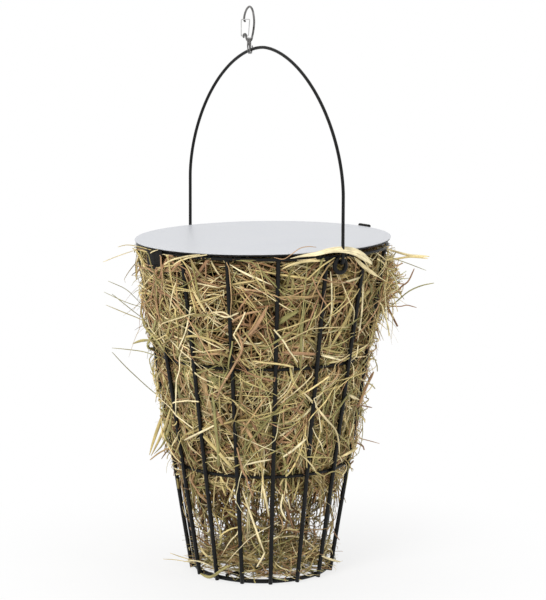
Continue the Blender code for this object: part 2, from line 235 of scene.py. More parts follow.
def resample(path, steps):
    # the same curve with its points evenly spaced by length
    far = np.concatenate([[0], np.cumsum(np.linalg.norm(np.diff(path, axis=0), axis=1))])
    at = np.linspace(0, far[-1], steps)
    return np.stack([np.interp(at, far, path[:, c]) for c in range(path.shape[1])], -1)


def roundCorners(corners, radius, steps=6):
    # each inner corner becomes a parabola between the points one radius before and after it
    c = np.asarray(corners, float)
    before, mid, after = c[:-2], c[1:-1], c[2:]
    first = mid + unit(before - mid) * radius
    last = mid + unit(after - mid) * radius
    t = np.linspace(0, 1, steps + 1)[None, :, None]
    bends = (1 - t) ** 2 * first[:, None] + 2 * t * (1 - t) * mid[:, None] + t ** 2 * last[:, None]
    return np.concatenate([c[:1], bends.reshape(-1, c.shape[1]), c[-1:]])


# Materials
def newGroup(name, inputs, outputs):
    group = bpy.data.node_groups.new(name, "ShaderNodeTree")
    for label, kind, value in inputs:
        socket = group.interface.new_socket(name=label, in_out="INPUT", socket_type="NodeSocket" + kind)
        socket.default_value = value
    for label, kind in outputs:
        group.interface.new_socket(name=label, in_out="OUTPUT", socket_type="NodeSocket" + kind)
    return group, group.nodes.new("NodeGroupInput").outputs, group.nodes.new("NodeGroupOutput")


def noise(tree, place, scale, detail, roughness=0.5):
    inputs = {"Vector": place, "Scale": scale, "Detail": detail, "Roughness": roughness}
    return node(tree, "ShaderNodeTexNoise", inputs).outputs[0]


def mapRange(tree, source, low, high, toLow=0.0, toHigh=1.0, **settings):
    inputs = {"Value": source, "From Min": low, "From Max": high, "To Min": toLow, "To Max": toHigh}
    return node(tree, "ShaderNodeMapRange", inputs, **settings).outputs[0]


def scaled(tree, colour, amount):
    return node(tree, "ShaderNodeVectorMath", {0: colour, "Scale": amount}, operation="SCALE").outputs[0]


def ramp(tree, source, stops):
    made = node(tree, "ShaderNodeValToRGB", {"Fac": source})
    while len(made.color_ramp.elements) < len(stops):
        made.color_ramp.elements.new(0.5)
    for element, (place, colour) in zip(made.color_ramp.elements, stops):
        element.position = place
        element.color = (*colour, 1)
    return made.outputs["Color"]


def grey(v):
    return (v, v, v)


surfaceOutputs = [("Colour", "Color"), ("Roughness", "Float"), ("Height", "Float")]


def makeSurfaceGroup():
    # painted or plated metal: fine peel, slow clouds, and settled dust on faces that look up
    group, given, result = newGroup("metalSurface", [
        ("Colour", "Color", (0.02, 0.02, 0.02, 1)), ("Dust Colour", "Color", (0.4, 0.36, 0.28, 1)),
        ("Peel Scale", "Float", 1200.0), ("Cloud Scale", "Float", 40.0), ("Cloud", "Float", 0.2),
        ("Dust", "Float", 0.2), ("Rough Low", "Float", 0.3), ("Rough High", "Float", 0.5)], surfaceOutputs)
    coords = node(group, "ShaderNodeTexCoord").outputs["Object"]
    peel = noise(group, coords, given["Peel Scale"], detail=3.0, roughness=0.55)
    cloud = noise(group, coords, given["Cloud Scale"], detail=4.0, roughness=0.6)
    specks = noise(group, coords, given["Peel Scale"], detail=2.0, roughness=0.7)
    normal = node(group, "ShaderNodeNewGeometry").outputs["Normal"]
    up = mapRange(group, node(group, "ShaderNodeSeparateXYZ", {0: normal}).outputs["Z"], 0.2, 1.0)
    patch = mapRange(group, cloud, 0.42, 0.62)
    film = maths(group, "MULTIPLY", maths(group, "MULTIPLY", up, patch), given["Dust"])
    swing = mapRange(group, cloud, 0.3, 0.7, -1.0, 1.0)
    swing = maths(group, "MULTIPLY_ADD", swing, given["Cloud"], 1.0)
    layers = {"Factor": film, 6: scaled(group, given["Colour"], swing), 7: given["Dust Colour"]}
    mixed = node(group, "ShaderNodeMix", layers, data_type="RGBA")
    rough = mapRange(group, specks, 0.35, 0.65, given["Rough Low"], given["Rough High"])
    feed(group, result, {"Colour": mixed.outputs[2], "Roughness": rough, "Height": peel})
    return group


def surfaceMaterial(name, group, values, bump, fixed):
    # the group's colour, roughness and height feed the material's own shader; the rest are plain values
    made = bpy.data.materials.new(name)
    made.use_nodes = True
    tree = made.node_tree
    surface = node(tree, "ShaderNodeGroup", values, node_tree=group).outputs
    height = {"Height": surface["Height"], "Strength": bump[0], "Distance": bump[1]}
    normal = node(tree, "ShaderNodeBump", height).outputs["Normal"]
    feed(tree, tree.nodes["Principled BSDF"], {
        "Base Color": surface["Colour"], "Roughness": surface["Roughness"], "Normal": normal, **fixed})
    return made


metalSurface = makeSurfaceGroup()
metals = {  # colour, dust's colour, scales of peel and clouds, strengths of clouds and dust, roughness,
    # metallic, gloss, strength and depth of relief
    "blackCoat": ((0.0060, 0.0062, 0.0062), (0.06, 0.053, 0.043), (900.0, 60.0), (0.25, 0.18), (0.26, 0.42),
                  0.0, 0.19, (0.25, 0.0004)),
    "blackSheet": ((0.0075, 0.0070, 0.0065), (0.06, 0.053, 0.043), (700.0, 50.0), (0.25, 0.15), (0.42, 0.60),
                   0.0, 0.14, (0.25, 0.0004)),
    # painted reflection: the lid's light grey colour stands in for the white sheen of its black semi-gloss coat
    # seen at a low angle; the flush rivets share it
    "lidPaintedSheen": ((0.640, 0.655, 0.690), (0.56, 0.55, 0.53), (700.0, 14.0), (0.035, 0.12), (0.36, 0.46),
                  0.25, 0.5, (0.05, 0.0003)),
    "brightWire": ((0.62, 0.615, 0.61), (0.45, 0.43, 0.41), (1500.0, 180.0), (0.25, 0.10), (0.12, 0.22),
                   1.0, 0.5, (0.05, 0.0002)),
    # painted reflection: the hook's and link's steel is darkened and strongly clouded, so that its colour stands
    # in for the dark and white reflections on polished steel
    "paintedReflectionSteel": ((0.175, 0.172, 0.168), (0.14, 0.13, 0.12), (1500.0, 150.0), (0.85, 0.08), (0.14, 0.24),
                 1.0, 0.5, (0.05, 0.0002))}


def metalMaterial(name):
    # one row of the table above on the shared metal surface
    colour, dustColour, (peel, clouds), (cloud, dust), (low, high), metallic, gloss, relief = metals[name]
    values = {"Colour": (*colour, 1), "Dust Colour": (*dustColour, 1), "Peel Scale": peel,
              "Cloud Scale": clouds, "Cloud": cloud, "Dust": dust, "Rough Low": low, "Rough High": high}
    fixed = {"Metallic": metallic, "Specular IOR Level": gloss}
    return surfaceMaterial(name, metalSurface, values, relief, fixed)


blackCoat, blackSheet, lidPaintedSheen, brightWire, paintedReflectionSteel = map(metalMaterial, metals)

fibre = {  # a strand's own tone runs from brown over olive to straw; its lightness darkens and warms it, and deep in the load that lightness is lowered as painted shade
    "tones": [(0.0, (0.15, 0.075, 0.034)), (0.10, (0.36, 0.205, 0.110)), (0.20, (0.52, 0.325, 0.175)),
              (0.32, (0.47, 0.325, 0.150)), (0.44, (0.25, 0.228, 0.086)), (0.55, (0.38, 0.350, 0.142)),
              (0.66, (0.58, 0.462, 0.196)), (0.78, (0.78, 0.630, 0.298)), (0.90, (0.92, 0.800, 0.505)),
              (1.0, (0.44, 0.45, 0.19))],
    "lights": [(0.0, (0.02, 0.012, 0.006)), (0.24, (0.225, 0.160, 0.095)), (0.52, (0.510, 0.435, 0.340)),
               (0.80, grey(0.80)), (1.0, grey(1.0))],
    "mottle": (0.92, 1.52), "roughness": (0.48, 0.78), "streakScale": (6.0, 22.0, 1.0), "reliefDepth": 0.0003,
    "gloss": 0.35}


def makeFibreGroup():
    # dry plant fibre: a tint for each strand from its own tone and its lightness, which carries painted shade
    # deep in the load, mottled along it and streaked by its fibres
    f = fibre
    group, given, result = newGroup("dryFibre", [
        ("Mottle Scale", "Float", 90.0), ("Streaks", "Float", 0.3), ("Shade", "Float", 1.0)], surfaceOutputs)
    own = node(group, "ShaderNodeAttribute", attribute_name="strandTint").outputs["Color"]
    parts = node(group, "ShaderNodeSeparateColor", {0: own}).outputs
    # the second ramp turns lightness into a darker, warmer tint: painted shade for strands that lie deep in the
    # load
    tints = {0: ramp(group, parts[0], f["tones"]), 1: ramp(group, parts[1], f["lights"])}
    tint = node(group, "ShaderNodeVectorMath", tints, operation="MULTIPLY").outputs[0]
    coords = node(group, "ShaderNodeTexCoord").outputs
    mottle = noise(group, coords["Object"], given["Mottle Scale"], detail=3.0, roughness=0.6)
    along = node(group, "ShaderNodeMapping", {"Vector": coords["UV"], "Scale": f["streakScale"]}).outputs[0]
    streak = noise(group, along, 1.0, detail=2.0)
    lines = mapRange(group, streak, 0.3, 0.7, -1.0, 1.0)
    light = maths(group, "MULTIPLY", maths(group, "MULTIPLY_ADD", lines, given["Streaks"], 1.0),
                  mapRange(group, mottle, 0.3, 0.7, *f["mottle"]))
    light = maths(group, "MULTIPLY", light, given["Shade"])
    rough = mapRange(group, mottle, 0.3, 0.7, *f["roughness"])
    feed(group, result, {"Colour": scaled(group, tint, light), "Roughness": rough, "Height": streak})
    return group


dryFibre = makeFibreGroup()


def fibreMaterial(name, mottle, streaks, shade, bump):
    values = {"Mottle Scale": mottle, "Streaks": streaks, "Shade": shade}
    fixed = {"Specular IOR Level": fibre["gloss"]}
    return surfaceMaterial(name, dryFibre, values, (bump, fibre["reliefDepth"]), fixed)


stemFinish = fibreMaterial("hayStem", 110.0, 0.22, 1.0, 0.25)
bladeFinish = fibreMaterial("hayBlade", 60.0, 0.38, 1.0, 0.5)
# painted shade: the heart's fibre is darkened to about a quarter, a dark body that stands in for the shade deep
# inside the load
heartPaintedShade = fibreMaterial("hayHeart", 130.0, 0.45, 0.24, 0.8)
print("materials are made")

# Wires of the cage
cage = {"rimRadius": 0.118, "footRadius": 0.0674, "rimHeight": 0.312, "rimWire": 0.0016,
        "uprightWire": 0.0020, "hoopWire": 0.0016, "baseWire": 0.0020, "uprights": 16, "gap": 0.0003,
        "hoopFoot": 0.002, "hoopSpan": 0.31, "eyeRadius": 0.0063, "eyeWire": 0.0020, "eyeX": 0.1219,
        "eyeHeight": 0.3045}
leanTan = (cage["rimRadius"] - cage["footRadius"]) / cage["rimHeight"]
leanCos = 1 / math.hypot(1, leanTan)
uprightAngles = 2 * np.pi / cage["uprights"] * (np.arange(cage["uprights"]) - 0.25)
hoopHeights = (cage["hoopFoot"] + cage["hoopSpan"] * 2 / 3, cage["hoopFoot"] + cage["hoopSpan"] / 3)


def uprightRadius(z):
    return cage["rimRadius"] - (cage["rimHeight"] - z) * leanTan


def betweenUprights(angle):
    # none at an upright, one midway between two: 0.5 - 0.5 * cos(uprights * angle)
    return 0.5 - 0.5 * np.cos(cage["uprights"] * (angle - uprightAngles[0]))


def ringPath(radius, z, steps=224):
    # circle of a radius about the axis at one height
    a = 2 * np.pi * np.arange(steps) / steps
    return around(radius, a, z)[None]


def cageRings():
    # the rim lies on the uprights' ends; the hoops and the base ring lie inside the uprights
    c = cage
    rings = [("rimWire", "rim_ring", c["rimRadius"], c["rimHeight"], c["rimWire"])]
    for name, target, z, wire in (("upperHoop", "upper_hoop", hoopHeights[0], c["hoopWire"]),
                                  ("lowerHoop", "lower_hoop", hoopHeights[1], c["hoopWire"]),
                                  ("baseWire", "base_ring", c["baseWire"], c["baseWire"])):
        radius = uprightRadius(z) - (c["uprightWire"] + wire + c["gap"]) / leanCos
        rings.append((name, target, radius, z, wire))
    for name, target, radius, z, wire in rings:
        path = ringPath(radius, z)
        piece = wirePiece(name, path, wire, (0, 0, 1), 16, blackCoat, "cage", closed=True)
        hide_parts(target)
    return {name: (radius, z, wire) for name, target, radius, z, wire in rings}


ringPlaces = cageRings()

uprightLook = {"seed": 4, "steps": 26, "turnWander": 0.0006, "turnWaves": 37, "radiusWander": 0.00008,
               "radiusWaves": 51, "top": 0.0004, "foot": 0.0006, "round": 0.0002}


def uprightWires():
    # a straight line from under the rim to the floor at each angle; it wanders by a tenth of a millimetre
    c, u = cage, uprightLook
    draws = np.random.default_rng(u["seed"])
    z = np.linspace(c["rimHeight"] - c["rimWire"] - c["gap"] - u["top"], u["foot"], u["steps"])
    z = np.concatenate([z[:1] + u["top"], z, z[-1:] - u["round"]])
    rows = (c["uprights"], 1)
    turnWave = np.sin(z[None] * u["turnWaves"] + draws.uniform(0, anyPhase, rows))
    radiusWave = np.sin(z[None] * u["radiusWaves"] + draws.uniform(0, anyPhase, rows))
    turn = uprightAngles[:, None] + u["turnWander"] * turnWave
    radius = uprightRadius(z)[None] + u["radiusWander"] * radiusWave
    paths, hints = around(radius, turn, z), around(1, turn, 0)
    piece = wirePiece("uprightWires", paths, c["uprightWire"], hints, 14, blackCoat, "cage")
    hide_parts(*[f"upright_{i:02d}" for i in range(16)])


uprightWires()

floorGrid = {"wire": 0.0016, "barPitch": 0.353 * 0.06093, "crossPitch": 0.788 * 0.06093, "barHeight": 0.002,
             "crossHeight": 0.0055, "clear": 0.0004}


def floorWires():
    # five bars one way and two across on top of them, each as long as the base ring's chord:
    # half length = sqrt(inner radius squared - offset squared)
    g = floorGrid
    radius, _, wire = ringPlaces["baseWire"]
    inside = radius - wire - g["clear"]
    t = np.linspace(-1, 1, 12)
    paths = []
    for count, pitch, height in ((5, g["barPitch"], g["barHeight"]), (2, g["crossPitch"], g["crossHeight"])):
        for offset in (np.arange(count) - (count - 1) / 2) * pitch:
            half = math.sqrt(inside ** 2 - (abs(offset) + g["wire"]) ** 2)
            bar = [t * half, 0 * t + offset] if count == 5 else [0 * t - offset, t * half]
            paths.append(np.stack([*bar, 0 * t + height], -1))
    piece = wirePiece("floorWires", paths, g["wire"], (0, 0, 1), 12, blackCoat, "cage")
    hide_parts(*[f"floor_wire_{i}" for i in range(5)], "cross_wire_0", "cross_wire_1")


floorWires()


def bailEyes():
    # ring of wire in the plane across the X axis, on either side
    a = 2 * np.pi * np.arange(72) / 72
    c = cage
    ring = np.stack([0 * a, c["eyeRadius"] * np.cos(a), c["eyeHeight"] + c["eyeRadius"] * np.sin(a)], -1)
    paths = np.stack([ring + (c["eyeX"], 0, 0), ring * (1, -1, 1) - (c["eyeX"], 0, 0)])
    wire = c["eyeWire"]
    piece = wirePiece("bailEyes", paths, wire, (1, 0, 0), 16, blackCoat, "cage", closed=True)
    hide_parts("eye_right", "eye_left")


bailEyes()

welds = {"seed": 9, "vary": (0.9, 1.12), "broad": 1.25, "inset": 0.0022, "barPitch": 0.02151,
         "crossAt": 0.024, "barHeight": 0.002, "crossHeight": 0.0045, "meetHeight": 0.00375,
         "eyeInset": 0.0021, "eyeRise": 0.0063, "rim": (0.0018, 0.0013), "hoop": (0.0010, 0.0021),
         "barEnd": (0.0016, 0.0016), "crossEnd": (0.0016, 0.0020), "meet": (0.0012, 0.0010),
         "eye": (0.0014, 0.0018)}


def weldNuggets():
    # small lens of coated weld metal where two wires touch: along an upright line from t = -1 to 1, its
    # half width is size * sqrt(1 - t*t)
    w = welds
    rows = []
    for name, (radius, z, wire) in ringPlaces.items():
        rim = name == "rimWire"
        r = radius if rim else radius + wire + cage["gap"] / 2
        h = z - wire - cage["gap"] / 2 if rim else z
        rows += [(r * math.cos(a), r * math.sin(a), h, *w["rim" if rim else "hoop"]) for a in uprightAngles]
    reach = ringPlaces["baseWire"][0] - w["inset"]
    bars = (np.arange(5) - 2) * w["barPitch"]
    for y in bars:
        x = math.sqrt(reach ** 2 - y ** 2)
        rows += [(sign * x, y, w["barHeight"], *w["barEnd"]) for sign in (-1, 1)]
    for x in (-w["crossAt"], w["crossAt"]):
        y = math.sqrt(reach ** 2 - x ** 2)
        rows += [(x, sign * y, w["crossHeight"], *w["crossEnd"]) for sign in (-1, 1)]
        rows += [(x, bar, w["meetHeight"], *w["meet"]) for bar in bars]
    eyeX, eyeZ = cage["eyeX"] - w["eyeInset"], cage["eyeHeight"] + w["eyeRise"]
    rows += [(sign * eyeX, 0, eyeZ, *w["eye"]) for sign in (-1, 1)]
    spots, sizes = np.split(np.array(rows), [3], axis=1)
    t = np.linspace(-0.97, 0.97, 9)
    vary = np.random.default_rng(w["seed"]).uniform(*w["vary"], (len(spots), 1))
    width = np.sqrt(1 - t ** 2)[None] * vary * 2 * sizes[:, :1]
    height = sizes[:, 1:] * t[None]
    paths = spots[:, None] + np.stack([0 * height, 0 * height, height], -1)
    out = unit(spots * (1, 1, 0) + 1e-9)[:, None] + np.zeros_like(paths)
    rings = sweep(paths, width * w["broad"], width, out, 12)
    quads = sweepFaces(len(spots), len(t), 12)
    makePiece("weldNuggets", rings.reshape(-1, 3), quads, blackCoat, "cage")


weldNuggets()
print("cage is made")

# Bail, split link and snap hook
bail = {"leg": 0.1257, "pin": 0.307, "tail": 0.0060, "wire": 0.0015, "shoulder": 0.055, "height": 0.185,
        "power": 1.8, "tailX": 0.11564, "bend": 0.0025}


def bailArch(x):
    # height above the rim: shoulder + (height - shoulder) * (1 - |x/leg|^p)^(1/p)
    b = bail
    share = 1 - (np.abs(x) / b["leg"]) ** b["power"]
    return b["shoulder"] + (b["height"] - b["shoulder"]) * np.maximum(share, 0) ** (1 / b["power"])


def bailWire():
    # the arch between two straight legs, each bent in through its eye and up again
    b = bail
    a = np.linspace(0, np.pi, 121)
    x = np.sign(np.cos(a)) * np.abs(np.cos(a)) ** (2 / b["power"]) * b["leg"]
    arch = np.stack([x, 0 * x, cage["rimHeight"] + bailArch(x)], -1)
    foot = [(b["tailX"], 0, b["pin"] + b["tail"]), (b["tailX"], 0, b["pin"]), (b["leg"], 0, b["pin"]),
            (b["leg"], 0, cage["rimHeight"] + b["shoulder"] / 2)]
    right = roundCorners(foot, b["bend"])
    left = (right * (-1, 1, 1))[::-1]
    path = np.concatenate([right, arch, left])
    piece = wirePiece("bailWire", path[None], b["wire"], (0, 1, 0), 16, blackCoat, "handle")
    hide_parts("bail")


bailWire()

link = {"x": -0.0225, "radius": 0.0073, "wire": 0.00062, "pitch": 0.0017, "turn": math.radians(48),
        "slack": 0.0009}
linkTop = cage["rimHeight"] + float(bailArch(np.array(link["x"]))) - bail["wire"] - link["slack"]
linkZ = linkTop + link["radius"] - link["wire"]
upward = np.array([0, 0, 1])


def level(angle):
    # level direction at an angle, and the one a quarter turn on
    return np.array([math.cos(angle), math.sin(angle), 0]), np.array([-math.sin(angle), math.cos(angle), 0])


def splitLink():
    # two turns of a helix: a circle in the upright plane, shifted along its axis by the pitch for each turn
    u = link
    across, along = level(u["turn"])
    a = np.linspace(0, 4 * np.pi, 145)[:, None]
    path = (np.array([u["x"], 0, linkZ]) + u["radius"] * (along * np.cos(a) + upward * np.sin(a))
            + across * u["pitch"] * (a / (2 * np.pi) - 1))
    piece = wirePiece("splitLink", path[None], u["wire"], across, 12, paintedReflectionSteel, "link")
    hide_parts("split_link")


splitLink()

hook = {"wire": 0.0010, "bow": 0.0039, "height": 0.0286, "turn": math.radians(10), "slack": 0.0008,
        "curl": 0.0019, "curlTurn": math.radians(240), "noseOffset": 0.0049, "noseDrop": 0.577,
        "gateWire": 0.0005, "gateHalf": 0.0056, "gateFoot": 0.85, "gateBend": 0.0009,
        "sides": ((0.19, 0.18), (0.225, 0.38), (0.232, 0.56), (0.185, 0.81), (0.115, 0.95), (0.02, 1.0),
                  (-0.08, 0.95), (-0.165, 0.84), (-0.225, 0.69))}


def arc(centre, radius, start, turn, steps):
    # points on a circle in the hook's plane, from a start angle through a turn
    a = np.linspace(start, start + turn, steps + 1)
    return np.stack([centre[0] + radius * np.cos(a), centre[1] + radius * np.sin(a)], -1)


def snapHook():
    # in its own plane (u sideways, w up): a curl, the half circle of the bow, a smooth back and top, and the
    # nose's curl; the gate is a loop with round corners from the one curl to the other
    h = hook
    pivot = np.array([link["x"], 0, linkZ + link["radius"]]) - level(link["turn"])[0] * link["pitch"] / 4
    reach, side = level(h["turn"])
    bow = pivot + (0, 0, h["slack"])
    curl = (-h["bow"] - h["curl"], h["curl"] / 2)
    nose = (-h["noseOffset"], h["height"] * h["noseDrop"])
    back = [(u * h["height"], w * h["height"]) for u, w in h["sides"]]
    line = np.concatenate([arc(curl, h["curl"], h["curlTurn"], -h["curlTurn"], 14),
                           arc((0, 0), h["bow"], math.pi, math.pi, 18)[1:],
                           catmull([(h["bow"], 0), *back, (nose[0] - h["curl"], nose[1])], 8)[1:],
                           arc(nose, h["curl"], math.pi, math.pi / 2, 8)[1:]])
    path = resample(bow + reach * line[:, :1] + upward * line[:, 1:], 110)
    piece = wirePiece("hookWire", path[None], h["wire"], side, 14, paintedReflectionSteel, "hook")
    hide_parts("hook_body")
    foot, tip = (bow + reach * u + upward * w for u, w in (curl, nose))
    low, high = side * h["gateHalf"] * h["gateFoot"], side * h["gateHalf"]
    mid = (foot - low + tip - high) / 2
    corners = [mid, foot - low, foot + low, tip + high, tip - high, mid]
    path = resample(roundCorners(corners, h["gateBend"]), 97)[None, :-1]
    wire = h["gateWire"]
    piece = wirePiece("gateWire", path, wire, reach, 12, brightWire, "gate", closed=True)
    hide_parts("hook_gate")


snapHook()
print("bail, link and hook are made")

# Carried-over CAD pieces get their finishes
finishes = {"lid_plate": lidPaintedSheen, "hinge_rivet_0": lidPaintedSheen, "hinge_rivet_1": lidPaintedSheen,
            "lid_bead": blackCoat, "lid_tab": blackSheet, "hinge_lid_leaf": blackSheet,
            "hinge_rim_leaf": blackSheet, "hinge_pin": blackCoat}
for target, finish in finishes.items():
    for place in nodes[target].material_slots:
        place.material = finish

# Hay
hay = {"seed": 11, "depth": 0.0015, "bulge": 0.0060, "pinch": 0.0085, "pinchHeight": 0.0045, "toneVary": 0.03,
       "brightest": 1.25, "streakRun": 12, "streakShift": 40,
       "box": ((-0.142, -0.1370, 0.0008), (0.142, 0.1390, 0.34))}
rng = np.random.default_rng(hay["seed"])


def wallRadius(z, angle):
    # how far out packed hay reaches: the wires' inner side, bulging between the uprights,
    # and pressed in by a bell curve of the height at each hoop
    hoops = sum(np.exp(-((z - h) / hay["pinchHeight"]) ** 2) for h in hoopHeights)
    wires = uprightRadius(z) - cage["uprightWire"] - hay["depth"]
    return wires + hay["bulge"] * betweenUprights(angle) - hay["pinch"] * hoops


def tintPoints(piece, tone, light):
    # every point keeps a tone and a lightness for the fibre's colours; the lightness also carries painted shade
    values = np.ones((len(piece.data.vertices), 4), np.float32)
    values[:, 0], values[:, 1] = tone, light
    tint = piece.data.attributes.new("strandTint", "FLOAT_COLOR", "POINT")
    tint.data.foreach_set("color", values.ravel())


# the heart's lightness of 0.5 is painted shade as well
heart = {"low": 0.094, "high": 0.296, "depth": 0.0215, "around": 96, "levels": 46, "lump": 0.0011,
         "waves": ((5, 19), (11, -23), (17, 31), (3, 47)), "footDome": 0.16, "headDome": 0.05, "pole": 0.004,
         "tone": 0.25, "toneWave": 0.12, "light": 0.5}


def hayHeart():
    # lumpy turned body: wall radius less a depth, with four waves round it, closed by a dome above and below;
    # its dark fibre is painted shade of the load's depths
    c = heart
    a = 2 * np.pi * np.arange(c["around"]) / c["around"]
    t = np.linspace(0, 1, c["levels"])[:, None]
    z = c["low"] + (c["high"] - c["low"]) * t
    lumps = sum(np.sin(turns * a + rise * t) for turns, rise in c["waves"]) * c["lump"]
    foot = np.sqrt(np.maximum(0, 1 - (1 - t / c["footDome"]).clip(0) ** 2))
    head = np.sqrt(np.maximum(0, 1 - ((t - (1 - c["headDome"])) / c["headDome"]).clip(0) ** 2) + 1e-5)
    radius = (wallRadius(z, a) - c["depth"] + lumps) * (foot * head + c["pole"])
    cap = capFaces(c["around"])
    quads = np.concatenate([ringFaces(c["levels"], c["around"])[:, [0, 3, 2, 1]], cap[:, ::-1],
                            cap + (c["levels"] - 1) * c["around"]])
    piece = makePiece("hayHeart", around(radius, a, z).reshape(-1, 3), quads, heartPaintedShade, "cage")
    tintPoints(piece, c["tone"] + c["toneWave"] * np.sin(np.tile(7 * a, c["levels"])), c["light"])
    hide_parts("hay_fill")


hayHeart()


def strandPiece(name, paths, widths, flatness, hints, tone, light, finish, thinnest=0.0002, sides=4):
    # every strand is an oval carried along its path, its thickness a share of its width; no path leaves the
    # box that hay may fill
    paths = paths.clip(*hay["box"])
    count, steps = paths.shape[:2]
    rings = sweep(paths, widths, np.maximum(widths * flatness, thinnest), hints, sides)
    piece = makePiece(name, rings.reshape(-1, 3), sweepFaces(count, steps, sides), finish, "cage")
    mesh = piece.data
    each = steps * sides
    tintPoints(piece, np.repeat(tone.clip(0, 1), each), np.repeat(light / hay["brightest"], each))
    run = np.cumsum(np.linalg.norm(np.diff(paths, axis=1, prepend=paths[:, :1]), axis=-1), 1)
    uv = np.zeros((count, steps, sides, 2), np.float32)
    uv[..., 0] = (run * hay["streakRun"] + rng.uniform(0, hay["streakShift"], (count, 1)))[..., None]
    uv[..., 1] = np.arange(sides) / sides
    loops = np.zeros(len(mesh.loops), np.int32)
    mesh.loops.foreach_get("vertex_index", loops)
    mesh.uv_layers.new(name="strandMap").data.foreach_set("uv", uv.reshape(-1, 2)[loops].ravel())
    print(name, count, "strands,", len(mesh.polygons) * 2, "triangles")


profile = {"peak": (0.25, 0.6), "power": (0.3, 0.9), "bluntTip": 0.8, "sharpTip": 0.15}


def bodyProfile(count, steps, blunt):
    # width along a strand: full in the middle, tapering to its tips, less so where it was cut blunt
    t = np.linspace(0, 1, steps)[None]
    peak = rng.uniform(*profile["peak"], (count, 1))
    rise = np.clip(t / peak, 0, 1)
    fall = np.clip((1 - t) / (1 - peak), 0, 1)
    taper = (np.minimum(rise, fall) + 0.02) ** rng.uniform(*profile["power"], (count, 1))
    tip = np.where(blunt[:, None], profile["bluntTip"], profile["sharpTip"])
    return tip + (1 - tip) * taper


def softBelow(value, most, soft):
    # rounded off so that it stays below the most it may be: most - soft * log(1 + exp((most - value) / soft))
    return most - soft * np.logaddexp(0, (most - value) / soft)


def pickTones(tones, n):
    return rng.choice(tones, n) + rng.normal(0, hay["toneVary"], n)


layWaves = ((0.55, 5, 41, 1.3), (0.40, 9, -67, 4.0), (0.25, 14, 88, 0.0))  # size, turns, rise, start


def layField(angle, z):
    # slow change of heading over the wall: three waves, each with whole turns round the axis
    return sum(size * np.sin(turns * angle + rise * z + start) for size, turns, rise, start in layWaves)


# how every strand on the wall may vary, lengths in metres and angles in radians
lay = {"lengthVary": 0.35, "shortest": 0.010, "longest": 2.4, "heightVary": 0.007, "angleVary": 0.09,
       "kink": 0.9, "kinkPlace": 0.35, "wave": 0.0012, "soft": 0.0015, "axis": 0.004, "lowest": 0.0062,
       "highest": 0.3118, "lidSoft": 0.002, "finest": 0.0002, "broadest": 2.6, "thinnest": 0.00016,
       # depthMarks and depthPaintedShade: a strand's lightness by how deep it lies, raised a little outside the
       # wall and lowered deep in the load, painted light and shade
       "outUp": 0.15, "rollTurn": 0.8, "bunchTone": 0.35, "depthMarks": (-0.004, 0.002, 0.011, 0.026),
       "depthPaintedShade": (1.10, 1.0, 0.53, 0.32), "darkest": 0.2, "ripples": 9, "waves": 7}


